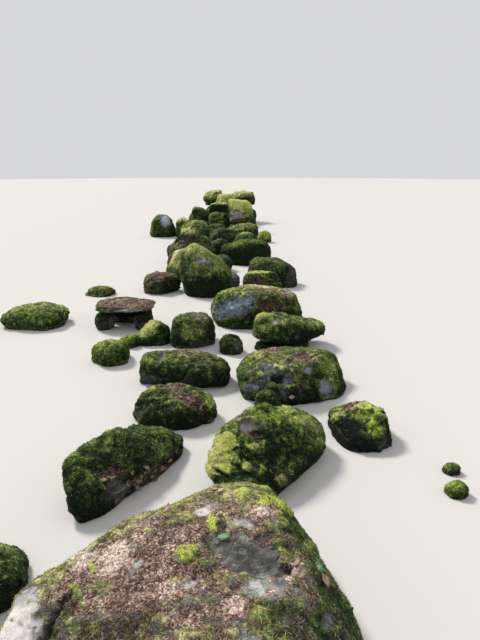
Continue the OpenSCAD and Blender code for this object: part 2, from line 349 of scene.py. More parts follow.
def stone_material():
    m, nt, bsdf, co = start("weathered_mossy_granite")

    def field(name):
        return node(nt, "ShaderNodeAttribute", attribute_name=name, attribute_type="GEOMETRY").outputs["Fac"]

    moss, litter, tone_and_painted_light, painted_shade, pale, hue, painted_skylight_blue = (
        field(n) for n in ("moss", "litter", "tone_and_painted_light", "painted_shade", "pale", "hue", "painted_skylight_blue"))

    def centred(tex, gain):
        return math_node(nt, "MULTIPLY", math_node(nt, "SUBTRACT", tex, 0.5), gain)

    def add(*terms):
        total = terms[0]
        for term in terms[1:]:
            total = math_node(nt, "ADD", total, term)
        return total

    broad = noise_tex(nt, co, 3.1, 3).outputs["Fac"]
    mid = noise_tex(nt, co, 13, 5, 0.62).outputs["Fac"]
    clump = noise_tex(nt, co, 36, 4, 0.65).outputs["Fac"]
    fine = noise_tex(nt, co, 95, 4, 0.70).outputs["Fac"]
    stems = node(nt, "ShaderNodeTexVoronoi", {"Vector": co, "Scale": 120.0, "Randomness": 1.0})
    grain = node(nt, "ShaderNodeTexVoronoi", {"Vector": co, "Scale": 300.0, "Randomness": 1.0})

    # how much moss and litter cover the rock, with ragged edges
    flecks = node(nt, "ShaderNodeTexVoronoi",
                  {"Vector": noise_warp(nt, co, 60, 0.016), "Scale": 46.0, "Randomness": 1.0})
    chosen = node(nt, "ShaderNodeSeparateColor", {"Color": flecks.outputs["Color"]})
    fleck = math_node(nt, "SUBTRACT", between(nt, chosen.outputs[0], 0.55, 1.0, 0.0, 0.42), flecks.outputs["Distance"])
    fleck = math_node(nt, "MULTIPLY", between(nt, fleck, -0.05, 0.10), between(nt, moss, 0.02, 0.25, 0.0, 0.45))
    cover = add(moss, centred(mid, 1.3), centred(clump, 1.2), centred(fine, 1.0), fleck)
    moss_on = between(nt, cover, 0.42, 0.58)
    other = noise_tex(nt, co, 24, 6, 0.70).outputs["Fac"]
    litter_on = between(nt, add(litter, centred(other, 2.4), centred(fine, 0.6)), 0.42, 0.58)

    # moss: its colour follows the tone field, with painted shade in the hollows and between the stem cells and painted
    # light at the tips; tan where it is thin
    t = add(tone_and_painted_light, centred(mid, 0.90), centred(clump, 1.25), centred(fine, 1.45), 0.075)
    t = math_node(nt, "MULTIPLY_ADD", stems.outputs["Distance"], -0.22, t)
    green = ramp(nt, t, [
        (0.0, (0.005, 0.010, 0.004)),
        (0.22, (0.021, 0.037, 0.011)),
        (0.45, (0.070, 0.107, 0.028)),
        (0.70, (0.225, 0.272, 0.072)),
        (1.0, (0.60, 0.59, 0.22)),
    ])
    vivid = ramp(nt, t, [
        (0.0, (0.005, 0.012, 0.002)),
        (0.22, (0.020, 0.044, 0.007)),
        (0.45, (0.078, 0.138, 0.016)),
        (0.70, (0.255, 0.345, 0.035)),
        (1.0, (0.60, 0.66, 0.15)),
    ])
    tan = ramp(nt, t, [
        (0.0, (0.009, 0.010, 0.005)),
        (0.22, (0.040, 0.043, 0.018)),
        (0.45, (0.122, 0.124, 0.050)),
        (0.70, (0.350, 0.325, 0.145)),
        (1.0, (0.76, 0.69, 0.40)),
    ])
    thick = between(nt, add(cover, centred(broad, 1.1), math_node(nt, "MULTIPLY", math_node(nt, "SUBTRACT", hue, 0.5), 1.4)), 0.55, 1.0)
    moss_col = mix(nt, thick, tan, green)
    moss_col = mix(nt, between(nt, add(hue, centred(clump, 0.5)), 0.62, 0.90), moss_col, vivid)

    # rock: speckled grey granite with pale lichen and a green film
    rt = add(mid, centred(broad, 0.8), centred(clump, 1.3), centred(fine, 0.5))
    rock = ramp(nt, rt, [
        (0.25, (0.040, 0.043, 0.043)),
        (0.45, (0.115, 0.121, 0.122)),
        (0.62, (0.220, 0.225, 0.228)),
        (0.80, (0.400, 0.400, 0.395)),
    ])
    speck = node(nt, "ShaderNodeSeparateColor", {"Color": grain.outputs["Color"]})
    rock = mix(nt, 1.0, rock, ramp(nt, speck.outputs[0], [
        (0.0, (0.42, 0.42, 0.42)), (0.22, (0.85, 0.85, 0.85)), (0.75, (1.05, 1.03, 1.0)), (1.0, (1.55, 1.52, 1.48)),
    ]), "MULTIPLY")
    rock = mix(nt, between(nt, speck.outputs[1], 0.70, 0.95, 0.0, 0.35), rock, (0.24, 0.17, 0.14, 1))
    film = between(nt, add(other, centred(fine, 0.8)), 0.46, 0.62, 0.0, 0.55)
    rock = mix(nt, film, rock, (0.085, 0.100, 0.050, 1))
    pale_col = mix(nt, between(nt, add(clump, centred(fine, 0.8)), 0.35, 0.65),
                   (0.46, 0.425, 0.420, 1), (0.62, 0.575, 0.560, 1))
    rock = mix(nt, pale, rock, pale_col)
    spots = node(nt, "ShaderNodeTexVoronoi",
                 {"Vector": noise_warp(nt, co, 40, 0.012), "Scale": 22.0, "Randomness": 1.0})
    keep = node(nt, "ShaderNodeSeparateColor", {"Color": spots.outputs["Color"]})
    size = between(nt, keep.outputs[0], 0.40, 1.0, 0.0, 0.46)
    lichen = between(nt, math_node(nt, "SUBTRACT", size, spots.outputs["Distance"]), -0.02, 0.05)
    lichen = math_node(nt, "MULTIPLY", lichen, between(nt, fine, 0.36, 0.54))
    rock = mix(nt, math_node(nt, "MULTIPLY", lichen, 0.80), rock, (0.47, 0.49, 0.45, 1))
    # rock lighter or darker with the tone field: its random variation and its painted light and shade
    bright = node(nt, "ShaderNodeCombineColor")
    shade = math_node(nt, "MULTIPLY_ADD", tone_and_painted_light, 1.3, 0.28)
    for k in range(3):
        nt.links.new(shade, bright.inputs[k])
    rock = mix(nt, 1.0, rock, bright.outputs[0], "MULTIPLY")
    # painted skylight: a blue cast on the rock of stones in sky-lit shade
    rock = mix(nt, painted_skylight_blue, rock, mix(nt, 1.0, rock, (0.80, 1.0, 1.30, 1), "MULTIPLY"))

    # litter: a mat of broken brown needles, lighter and darker with the painted light and shade of the tone field
    scrap = node(nt, "ShaderNodeTexVoronoi", {"Vector": noise_warp(nt, co, 70, 0.012), "Scale": 210.0, "Randomness": 1.0})
    piece = node(nt, "ShaderNodeSeparateColor", {"Color": scrap.outputs["Color"]})
    lf = add(math_node(nt, "MULTIPLY_ADD", piece.outputs[0], 0.66, 0.00), centred(fine, 1.3), centred(clump, 1.3),
             centred(mid, 0.8), math_node(nt, "MULTIPLY", math_node(nt, "SUBTRACT", tone_and_painted_light, 0.45), 1.1))
    litter_col = ramp(nt, lf, [
        (0.0, (0.020, 0.012, 0.009)),
        (0.28, (0.105, 0.063, 0.046)),
        (0.60, (0.350, 0.232, 0.182)),
        (1.0, (0.90, 0.74, 0.66)),
    ])

    col = mix(nt, litter_on, rock, litter_col)
    col = mix(nt, moss_on, col, moss_col)
    # painted shade: darker near the foot, underneath, in cracks and under the shadow and shade marks
    col = mix(nt, math_node(nt, "MULTIPLY", painted_shade, 0.85), col, mix(nt, 0.12, (0, 0, 0, 1), col))
    nt.links.new(col, bsdf.inputs["Base Color"])

    rough = math_node(nt, "MULTIPLY_ADD", fine, 0.3, 0.58)
    rough = math_node(nt, "MAXIMUM", rough, math_node(nt, "MULTIPLY", moss_on, 0.95))
    rough = math_node(nt, "MAXIMUM", rough, math_node(nt, "MULTIPLY", litter_on, 0.88))
    nt.links.new(rough, bsdf.inputs["Roughness"])
    bsdf.inputs["Specular IOR Level"].default_value = 0.22

    h_moss = add(math_node(nt, "MULTIPLY", stems.outputs["Distance"], -0.0040),
                 math_node(nt, "MULTIPLY", fine, 0.0100), math_node(nt, "MULTIPLY", clump, 0.0120))
    h_rock = add(math_node(nt, "MULTIPLY", grain.outputs["Distance"], 0.0006),
                 math_node(nt, "MULTIPLY", fine, 0.0035), math_node(nt, "MULTIPLY", clump, 0.0060))
    h_litter = add(math_node(nt, "MULTIPLY", piece.outputs[1], 0.0018), math_node(nt, "MULTIPLY", fine, 0.0060),
                   math_node(nt, "MULTIPLY", clump, 0.0050))
    h = node(nt, "ShaderNodeMix", data_type="FLOAT")
    nt.links.new(litter_on, h.inputs[0]); nt.links.new(h_rock, h.inputs[2]); nt.links.new(h_litter, h.inputs[3])
    h2 = node(nt, "ShaderNodeMix", data_type="FLOAT")
    nt.links.new(moss_on, h2.inputs[0]); nt.links.new(h.outputs[0], h2.inputs[2]); nt.links.new(h_moss, h2.inputs[3])
    bump = node(nt, "ShaderNodeBump", {"Height": h2.outputs[0], "Strength": 1.0, "Distance": 1.0})
    nt.links.new(bump.outputs[0], bsdf.inputs["Normal"])
    return m


def noise_warp(nt, co, scale, amount):
    n = noise_tex(nt, co, scale, 2)
    v = node(nt, "ShaderNodeVectorMath", {0: n.outputs["Color"], 1: (0.5, 0.5, 0.5)}, operation="SUBTRACT")
    v = node(nt, "ShaderNodeVectorMath", {0: v.outputs[0], "Scale": amount}, operation="SCALE")
    return node(nt, "ShaderNodeVectorMath", {0: co, 1: v.outputs[0]}, operation="ADD").outputs[0]


def shoot_material():
    m, nt, bsdf, co = start("moss_shoots")
    tone_and_painted_light = node(nt, "ShaderNodeAttribute", attribute_name="tone_and_painted_light", attribute_type="GEOMETRY").outputs["Fac"]
    fine = noise_tex(nt, co, 140, 3).outputs["Fac"]
    # the tone from the stones brings their painted light and shade to the shoots
    t = math_node(nt, "MULTIPLY_ADD", math_node(nt, "SUBTRACT", fine, 0.5), 0.5, tone_and_painted_light)
    col = ramp(nt, t, [
        (0.0, (0.008, 0.015, 0.005)),
        (0.25, (0.029, 0.050, 0.013)),
        (0.5, (0.094, 0.140, 0.030)),
        (0.75, (0.28, 0.34, 0.070)),
        (1.0, (0.62, 0.64, 0.22)),
    ])
    nt.links.new(col, bsdf.inputs["Base Color"])
    bsdf.inputs["Roughness"].default_value = 0.75
    bsdf.inputs["Specular IOR Level"].default_value = 0.2
    bump = node(nt, "ShaderNodeBump", {"Height": fine, "Strength": 0.5, "Distance": 0.002})
    nt.links.new(bump.outputs[0], bsdf.inputs["Normal"])
    return m


def needle_material():
    m, nt, bsdf, co = start("dry_needles")
    hue = node(nt, "ShaderNodeAttribute", attribute_name="hue", attribute_type="GEOMETRY").outputs["Fac"]
    fine = noise_tex(nt, co, 300, 3).outputs["Fac"]
    t = math_node(nt, "MULTIPLY_ADD", math_node(nt, "SUBTRACT", fine, 0.5), 0.5, hue)
    col = ramp(nt, t, [
        (0.0, (0.045, 0.023, 0.015)),
        (0.4, (0.20, 0.115, 0.080)),
        (0.7, (0.42, 0.285, 0.220)),
        (1.0, (0.78, 0.64, 0.55)),
    ])
    nt.links.new(col, bsdf.inputs["Base Color"])
    bsdf.inputs["Roughness"].default_value = 0.6
    bump = node(nt, "ShaderNodeBump", {"Height": fine, "Strength": 0.4, "Distance": 0.001})
    nt.links.new(bump.outputs[0], bsdf.inputs["Normal"])
    return m


def leaf_material():
    m, nt, bsdf, co = start("fallen_leaves")
    hue = node(nt, "ShaderNodeAttribute", attribute_name="hue", attribute_type="GEOMETRY").outputs["Fac"]
    rib = node(nt, "ShaderNodeAttribute", attribute_name="rib", attribute_type="GEOMETRY").outputs["Fac"]
    fine = noise_tex(nt, co, 120, 4).outputs["Fac"]
    t = math_node(nt, "MULTIPLY_ADD", math_node(nt, "SUBTRACT", fine, 0.5), 0.35, hue)
    col = ramp(nt, t, [
        (0.0, (0.050, 0.030, 0.021)),
        (0.3, (0.160, 0.095, 0.060)),
        (0.55, (0.31, 0.205, 0.145)),
        (0.80, (0.52, 0.42, 0.35)),
        (0.92, (0.11, 0.25, 0.12)),
    ])
    col = mix(nt, math_node(nt, "MULTIPLY", rib, 0.55), col, mix(nt, 0.5, col, (0.62, 0.50, 0.36, 1)))
    nt.links.new(col, bsdf.inputs["Base Color"])
    bsdf.inputs["Roughness"].default_value = 0.62
    h = math_node(nt, "MULTIPLY_ADD", rib, 0.6, fine)
    bump = node(nt, "ShaderNodeBump", {"Height": h, "Strength": 0.6, "Distance": 0.0012})
    nt.links.new(bump.outputs[0], bsdf.inputs["Normal"])
    return m


STONE = stone_material()
SHOOTS = shoot_material()
NEEDLES = needle_material()
LEAVES = leaf_material()

# ---------------------------------------------------------------- stones
# k: quads along each sixth of the stone. moss: how far down the cover reaches.
# thick: cushion height in metres. tone: 0 deep green, 1 yellow-green, with painted light and shade added in.
# litter: needles and leaf crumbs on the flat top. pale: weathered light rock.
# clumps: how much the cushions of moss stand out from each other.
# marks: (kind, x, y, half width, half height, turn in degrees, amount), where
# x and y are seen from the camera.
# Light marks paint patches of sunlight, dark marks paint shadows, and shade marks paint shade into the colour.
PLAIN = dict(k=26, moss=0.55, thick=0.018, tone_and_painted_light=0.36, litter=0.25, pale=0.0, painted_skylight_blue=0.0, hue=0.57, form=1.0, round=0.05,
             lumps=0.014, clumps=1.0, marks=[])
LOOKS = {
    "front_boulder": dict(k=96, moss=-0.30, thick=0.008, tone_and_painted_light=0.46, litter=0.80, form=0.7, lumps=0.004, hue=0.52, marks=[
        ("litter", 130, 560, 80, 45, -30, 0.90), ("litter", 225, 618, 36, 22, 0, 0.9), ("litter", 110, 605, 70, 22, -12, 0.75),
        ("litter", 190, 625, 60, 18, 0, 0.85), ("litter", 296, 575, 13, 17, 0, 0.95),
        ("litter", 190, 532, 26, 12, -20, 0.9),
        ("moss", 52, 574, 54, 12, -45, 0.90), ("moss", 118, 529, 38, 9, -33, 0.90), ("moss", 170, 503, 44, 12, -22, 0.92),
        ("light", 60, 572, 60, 13, -42, 0.12), ("light", 170, 504, 44, 12, -22, 0.20), ("light", 118, 531, 36, 8, -34, 0.08), ("olive", 118, 530, 50, 14, -36, 0.3),
        ("moss", 258, 498, 38, 16, 12, 0.74), ("moss", 292, 541, 24, 24, 40, 0.66), ("moss", 322, 600, 40, 40, 20, 0.74),
        ("moss", 275, 622, 30, 28, 0, 0.74), ("moss", 80, 622, 26, 26, 20, 0.62), ("moss", 130, 628, 44, 16, -4, 0.52), ("moss", 205, 634, 56, 9, -4, 0.62),
        ("moss", 190, 614, 60, 18, -6, 0.36), ("moss", 190, 517, 30, 6, -18, 0.74), ("moss", 235, 528, 24, 12, 0, 0.50),
        ("litter", 262, 514, 15, 7, -10, 1), ("moss", 225, 495, 20, 8, -5, 0.62), ("moss", 210, 540, 12, 20, 0, 0.38),
        ("moss", 213, 556, 12, 10, 0, 0.46), ("moss", 222, 600, 26, 14, 20, 0.40), ("moss", 104, 590, 26, 10, -10, 0.36),
        ("light", 258, 500, 40, 14, 12, 0.24), ("light", 235, 532, 26, 12, 0, 0.10), ("light", 262, 514, 16, 8, -10, 0.12), ("light", 190, 516, 20, 5, -18, 0.20),
        ("vivid", 195, 491, 14, 6, -10, 0.5), ("vivid", 186, 558, 10, 8, 0, 0.4), ("vivid", 262, 500, 40, 16, 10, 0.25),
        ("vivid", 285, 625, 40, 30, 0, 0.15), ("olive", 100, 622, 54, 22, 0, 0.35), ("olive", 60, 575, 54, 16, -45, 0.55), ("olive", 205, 632, 60, 12, 0, 0.3), ("litter", 302, 590, 13, 26, -20, 0.62), ("litter", 334, 628, 10, 22, -20, 0.45), ("litter", 104, 612, 30, 8, -8, 0.6),
        ("rock", 8, 634, 36, 28, -20, 1), ("rock", 24, 604, 20, 12, -42, 0.85), ("pale", 4, 632, 36, 30, -20, 1), ("pale", 24, 606, 18, 11, -42, 0.6), ("light", 4, 632, 34, 30, -20, 0.12),
        ("rock", 205, 511, 16, 5.5, -20, 0.9), ("pale", 205, 511, 15, 5, -20, 0.9), ("litter", 214, 509, 8, 4, -30, 0.7), ("light", 206, 510, 14, 5, -20, 0.10), ("litter", 196, 514, 7, 2.5, -20, 0.6),
        ("rock", 134, 569, 15, 4.5, -50, 0.8), ("pale", 134, 569, 12, 4, -50, 0.25),
        ("rock", 240, 523, 13, 4.5, 8, 0.85), ("pale", 240, 523, 12, 4, 8, 0.42), ("litter", 246, 525, 7, 3, 0, 0.5),
        ("rock", 250, 559, 38, 20, 22, 1), ("dark", 252, 556, 38, 19, 22, 0.66), ("light", 222, 556, 12, 9, 20, 0.10), ("rock", 186, 586, 18, 4, -16, 0.5),
        ("pale", 186, 586, 16, 4, -16, 0.4), ("rock", 265, 589, 24, 11, 8, 0.95), ("pale", 264, 589, 20, 10, 8, 0.34), ("light", 262, 588, 20, 8, 8, 0.10), ("moss", 252, 594, 9, 5, 20, 0.40), ("moss", 272, 597, 8, 4, 0, 0.40), ("litter", 270, 594, 6, 4, 0, 0.6), ("olive", 262, 594, 16, 8, 0, 0.4),
        ("rock", 327, 622, 7, 9, 20, 0.9), ("rock", 284, 622, 6, 8, 0, 0.6), ("rock", 250, 640, 12, 8, 0, 0.6),
        ("light", 84, 557, 16, 9, -42, 0.46), ("light", 115, 560, 22, 12, -48, 0.50), ("light", 133, 540, 14, 11, -40, 0.22),
        ("light", 235, 606, 12, 9, 0, 0.40), ("light", 180, 588, 26, 8, -16, 0.18), ("light", 186, 544, 24, 12, 0, 0.10),
        ("light", 200, 622, 40, 14, 0, 0.12), ("light", 296, 574, 12, 14, 0, 0.16), ("light", 262, 592, 16, 8, 0, 0.06),
        ("dark", 222, 527, 5, 4, 0, 0.5), ("dark", 288, 570, 4, 6, 0, 0.6), ("dark", 110, 630, 50, 12, -4, 0.34),
        ("dark", 315, 614, 46, 40, 0, 0.16), ("dark", 150, 612, 34, 8, 0, 0.14), ("dark", 285, 622, 22, 20, 0, 0.20),
        ("dark", 100, 584, 40, 7, -30, 0.20), ("dark", 205, 543, 3, 9, 0, 0.7), ("dark", 284, 540, 18, 12, 20, 0.20),
        ("dark", 216, 553, 6, 8, 0, 0.3), ("dark", 150, 560, 26, 7, 40, 0.18), ("dark", 66, 610, 10, 20, 20, 0.35),
        ("tuft", 184, 557, 7, 7, 0, 1), ("tuft", 190, 556, 5, 8, 30, 0.9), ("dark", 183, 566, 8, 2, 0, 0.35), ("tuft", 119, 537, 4, 4, 0, 0.9), ("tuft", 93, 570, 4, 4, 0, 0.8),
        ("tuft", 149, 531, 5, 5, 0, 0.5), ("tuft", 170, 534, 5, 3, 0, 0.5), ("tuft", 104, 611, 4, 5, 0, 0.5),
        ("tuft", 75, 592, 6, 7, 0, 0.6), ("tuft", 70, 630, 11, 12, 0, 0.45), ("tuft", 195, 491, 10, 4.5, -10, 0.9),
        ("tuft", 211, 524, 5, 6, 20, 0.85), ("tuft", 213, 531, 4, 5, -20, 0.8), ("tuft", 242, 496, 8, 4, 0, 0.9), ("tuft", 266, 502, 8, 5, 10, 0.8),
        ("tuft", 281, 504, 7, 9, 20, 0.9), ("tuft", 291, 512, 6, 6, 0, 0.9), ("tuft", 278, 527, 8, 6, 0, 0.5),
        ("tuft", 242, 537, 7, 4, 0, 0.5), ("tuft", 218, 553, 6, 6, 0, 0.3), ("tuft", 209, 562, 6, 4, 0, 0.4),
        ("tuft", 231, 579, 8, 5, 10, 0.6), ("tuft", 248, 577, 6, 3.5, 20, 0.5), ("tuft", 347, 600, 9, 12, 0, 0.6),
        ("tuft", 306, 548, 6, 6, 0, 0.4), ("tuft", 190, 602, 5, 4, 0, 0.4), ("tuft", 163, 622, 6, 7, 0, 0.4),
        ("tuft", 262, 618, 7, 8, 0, 0.45), ("tuft", 300, 606, 8, 7, 0, 0.45), ("tuft", 232, 633, 7, 4, 0, 0.4),
        ("tuft", 262, 487, 8, 3, 10, 0.8), ("tuft", 250, 561, 3.5, 3, 0, 0.5), ("tuft", 242, 512, 4, 4, 0, 0.5),
        ("groove", 72, 594, 60, 612, 2.6, 0.022), ("groove", 60, 612, 49, 632, 4.0, 0.030),
        ("groove", 49, 632, 40, 652, 4.5, 0.030),
        ("groove", 11, 620, 34, 629, 0.9, 0.006), ("groove", 238, 571, 278, 576, 1.3, 0.009),
        ("dent", 289, 570, 5, 6, 0, 0.020),
    ]),
    "front_left_stone": dict(k=32, moss=0.7, thick=0.02, tone_and_painted_light=0.30, hue=0.6, litter=0.1, marks=[
        ("light", 12, 556, 14, 8, 20, 0.12), ("dark", 10, 590, 16, 10, 0, 0.3)]),
    "left_boulder_1": dict(k=57, moss=0.7, thick=0.022, tone_and_painted_light=0.31, litter=0.06, form=0.40, lumps=0.007, hue=0.60, marks=[
        ("litter", 144, 480, 44, 12, -30, 1), ("litter", 110, 473, 14, 6, -12, 1), ("litter", 172, 463, 14, 7, -40, 0.95),
        ("litter", 128, 496, 16, 8, -30, 0.9), ("rock", 115.5, 490, 12.5, 11, -10, 1), ("light", 115, 486, 10, 8, -10, 0.06),
        ("light", 146, 482, 42, 11, -30, 0.30), ("dent", 140, 482, 36, 10, -30, 0.014), ("dark", 134, 478, 5, 10, 20, 0.25),
        ("dark", 88, 502, 24, 16, 0, 0.14), ("light", 74, 452, 14, 24, 35, 0.12), ("light", 132, 434, 46, 5, 0, 0.10),
        ("olive", 120, 456, 22, 9, 0, 0.40), ("dark", 138, 462, 7, 3, 0, 0.6), ("vivid", 78, 470, 16, 26, 20, 0.35),
        ("light", 112, 447, 30, 7, -15, 0.10), ("vivid", 160, 440, 20, 6, 10, 0.3), ("light", 168, 450, 14, 7, 10, 0.10),
        ("dark", 96, 462, 12, 6, -30, 0.15), ("light", 90, 478, 8, 6, 0, 0.10), ("olive", 88, 470, 10, 6, -40, 0.3),
    ]),
    "centre_boulder_1": dict(k=59, moss=0.75, clumps=0.8, thick=0.026, tone_and_painted_light=0.40, litter=0.1, form=0.50, lumps=0.012, marks=[
        ("rock", 246.5, 429, 10, 5.6, -22, 1), ("pale", 246.5, 429, 9.6, 5.4, -22, 0.50), ("light", 248, 428, 6, 3, -20, 0.05),
        ("litter", 240, 421, 7, 3, -40, 0.6), ("litter", 252, 437, 12, 3, 0, 0.80), ("litter", 262, 429, 6, 3, 10, 0.5),
        ("light", 226, 445, 9.5, 8, 10, 0.85), ("light", 218, 462, 15, 11, -18, 1.0), ("light", 214, 470, 9, 5, -10, 0.50), ("light", 232, 456, 9, 8, 0, 0.25),
        ("light", 232, 437, 6, 2.5, -40, 0.30), ("light", 251, 449, 6, 4, 25, 0.30), ("light", 261, 447, 5, 3, -20, 0.26),
        ("light", 283, 412, 11, 4, 12, 0.40), ("light", 273, 419, 14, 4, -8, 0.26), ("light", 291, 425, 7, 4, 35, 0.20),
        ("light", 245, 467, 6, 6, -30, 0.45), ("light", 260, 472, 3, 8, 10, 0.36), ("light", 280, 480, 7, 4, 0, 0.35),
        ("olive", 280, 480, 8, 5, 0, 0.8), ("light", 230, 472, 10, 3, -10, 0.40), ("light", 306, 426, 12, 7, 30, 0.16),
        ("light", 298, 446, 26, 26, 0, 0.08), ("light", 288, 473, 5, 4, 20, 0.12), ("light", 318, 442, 6, 14, -10, 0.16),
        ("dark", 234, 440, 9, 1.6, -30, 0.5), ("dark", 226, 455, 14, 1.8, -24, 0.9), ("dark", 241, 449, 3, 8, 0, 0.4),
        ("dark", 236, 472, 5, 7, 0, 0.5), ("dark", 276, 456, 18, 12, 0, 0.36), ("dark", 300, 460, 14, 12, 0, 0.25),
        ("dark", 264, 437, 14, 4, 10, 0.40), ("dark", 288, 489, 10, 6, 0, 0.8), ("dark", 258, 459, 12, 4, -20, 0.40),
        ("dark", 280, 433, 14, 4, 10, 0.30), ("dark", 214, 480, 18, 3, -5, 0.5), ("dark", 264, 412, 6, 3, -20, 0.30),
        ("dark", 252, 478, 12, 5, 0, 0.40), ("dark", 268, 478, 5, 7, 0, 0.4), ("dark", 270, 424, 8, 2, -10, 0.3),
        ("vivid", 279, 416, 30, 11, 5, 0.6), ("vivid", 300, 440, 20, 20, 0, 0.25), ("vivid", 221, 457, 18, 20, 20, 0.45),
        ("tuft", 250, 450, 6, 2.6, 30, 0.6), ("tuft", 260, 447, 3, 4.5, 30, 0.5), ("tuft", 244, 467, 3.5, 6, 30, 0.6),
        ("tuft", 258, 473, 2.5, 7, 15, 0.6), ("tuft", 286, 470, 6, 4, -30, 0.25),
        ("tuft", 296, 433, 7, 3, 30, 0.35), ("tuft", 272, 424, 7, 2.5, 10, 0.4), ("olive", 238, 420, 12, 5, -30, 0.6),
    ]),
    "right_boulder": dict(k=42, moss=0.75, thick=0.02, tone_and_painted_light=0.38, litter=0.1, form=0.5, lumps=0.010, marks=[
        ("litter", 349, 410, 7, 3, 0, 1), ("litter", 352, 405.5, 11, 2, 0, 0.95), ("moss", 336, 410, 8, 6, 0, 1),
        ("moss", 340, 419, 6, 5, -20, 1), ("light", 340, 418, 6, 4, -20, 0.55), ("light", 336, 408, 7, 5, 0, 0.26),
        ("moss", 370, 409, 14, 5, 5, 1), ("light", 368, 408.5, 15, 4, 0, 0.60), ("light", 379, 412, 4, 7, -10, 0.45), ("light", 362, 418, 10, 5, 0, 0.14),
        ("vivid", 366, 416, 16, 8, 0, 0.7), ("vivid", 375, 431, 8, 10, 0, 0.8), ("light", 375, 431, 6, 8, -20, 0.24),
        ("moss", 366, 425, 16, 14, 0, 1), ("dark", 348, 434, 18, 14, 25, 1.2), ("shade", 347, 436, 16, 12, 20, 0.75),
        ("dark", 365, 447, 22, 7, 15, 0.7), ("rock", 384, 445, 8, 7, 20, 1), ("dark", 384, 446, 9, 8, 0, 0.35),
        ("dark", 387, 428, 4, 12, -10, 0.5), ("dark", 362, 415, 12, 2.5, 4, 0.20), ("dark", 332, 424, 4, 8, 0, 0.5),
    ]),
    "left_boulder_2": dict(k=44, moss=0.65, thick=0.022, tone_and_painted_light=0.33, litter=0.20, form=0.6, lumps=0.012, marks=[
        ("litter", 170, 389, 18, 3, 3, 1), ("litter", 188, 401, 15, 6, 14, 0.9), ("litter", 201, 407, 8, 4, 10, 0.9),
        ("light", 168, 387, 8, 2, 0, 0.2), ("light", 209, 401, 7, 8, 0, 0.55), ("light", 149, 390, 8, 4, -10, 0.40),
        ("vivid", 149, 390, 12, 5, -10, 0.5), ("light", 165, 401, 12, 4, 5, 0.14), ("dark", 148, 404, 14, 3, -5, 0.6),
        ("dark", 162, 414, 26, 8, 0, 0.20), ("rock", 139, 416, 4.5, 6, 20, 1), ("light", 139, 416, 4, 5, 20, 0.1),
        ("moss", 210, 402, 6, 8, 0, 1), ("moss", 176, 384.5, 30, 1.8, 0, 1), ("light", 176, 384.5, 30, 2, 0, 0.16),
        ("vivid", 207, 402, 10, 9, 0, 0.7), ("rock", 201, 419, 9, 4, -20, 0.8), ("pale", 167, 410, 5, 1.5, 0, 0.2),
        ("light", 182, 410, 12, 5, 0, 0.08), ("dark", 180, 424, 40, 4, 0, 0.4),
    ]),
    "left_boulder_3": dict(k=46, moss=0.7, thick=0.024, tone_and_painted_light=0.36, litter=0.15, form=0.5, lumps=0.013, painted_skylight_blue=0.5, marks=[
        ("rock", 152, 380, 9, 6, 10, 1), ("rock", 161, 359, 3, 7, 25, 1), ("light", 161, 357, 3, 6, 25, 0.20),
        ("light", 152, 379, 7, 4, 0, 0.10), ("light", 195, 353, 36, 4, 3, 0.16), ("light", 150, 364, 8, 8, 0, 0.14),
        ("dark", 185, 382, 42, 7, 0, 0.30), ("olive", 200, 362, 28, 8, 5, 0.6), ("vivid", 145, 364, 8, 10, 0, 0.4),
        ("dark", 144, 366, 4, 6, 0, 0.4), ("rock", 188, 379, 6, 2.5, -10, 0.8), ("dark", 172, 376, 8, 8, 0, 0.25),
        ("dark", 205, 372, 20, 4, 0, 0.20), ("light", 178, 360, 10, 4, 0, 0.10), ("vivid", 222, 365, 7, 6, 0, 0.5),
        ("litter", 180, 355, 9, 2.5, 5, 0.6), ("dark", 160, 370, 3, 8, 25, 0.3),
    ]),
    "knob_stone": dict(k=26, moss=0.9, thick=0.016, tone_and_painted_light=0.33, litter=0.05, lumps=0.005, form=0.5),
    "centre_boulder_2": dict(k=53, moss=0.60, thick=0.020, tone_and_painted_light=0.40, litter=0.25, form=0.40, lumps=0.010, painted_skylight_blue=0.55, round=0.10, marks=[
        ("rock", 268, 371, 6, 7, -25, 1), ("rock", 279, 373.5, 13, 3.5, 5, 0.9), ("rock", 288, 380, 5.5, 6, 0, 1),
        ("rock", 254, 386, 13, 6, -20, 1), ("rock", 265, 379, 10, 4, -28, 1), ("rock", 289, 364.5, 3, 3, 0, 1),
        ("rock", 284, 392, 4, 9, 0, 0.8), ("rock", 307.5, 371, 3.8, 3.4, 0, 1), ("pale", 307.5, 371, 3.6, 3.2, 0, 0.55),
        ("rock", 325, 389, 8, 10, 0, 1), ("pale", 325, 387, 7, 8, 0, 0.30), ("light", 252, 386, 11, 5, -14, 0.48),
        ("light", 288, 381, 5, 8, 0, 0.50), ("light", 272, 373, 12, 5, -10, 0.44), ("light", 325, 388, 7, 9, 0, 0.32), ("light", 307.5, 371, 4, 3.5, 0, 0.10),
        ("dent", 277, 380.5, 6.5, 5, -5, 0.045), ("rock", 277, 380.5, 7, 5, -5, 1), ("shade", 277, 380.5, 6, 4.6, -5, 1),
        ("litter", 272, 353, 13, 2.4, 0, 1), ("light", 270, 353, 13, 2.4, 0, 0.24), ("litter", 302, 360, 11, 5.5, 10, 0.95),
        ("dark", 302, 361, 11, 5, 10, 0.30), ("litter", 301, 386, 4, 7, 10, 0.75), ("moss", 336, 374, 9, 18, 0, 1),
        ("vivid", 327, 370, 13, 14, 10, 0.7), ("light", 327, 368, 8, 7, 10, 0.26), ("light", 256, 357, 7, 4, 0, 0.30),
        ("olive", 276, 363, 14, 6, 0, 0.6), ("olive", 295, 373, 6, 6, 0, 0.5), ("light", 296, 374, 5, 6, 0, 0.14),
        ("moss", 310, 388, 7, 11, 0, 1), ("moss", 292, 390, 5, 6, 0, 0.9), ("dark", 292, 392, 7, 6, 0, 0.30),
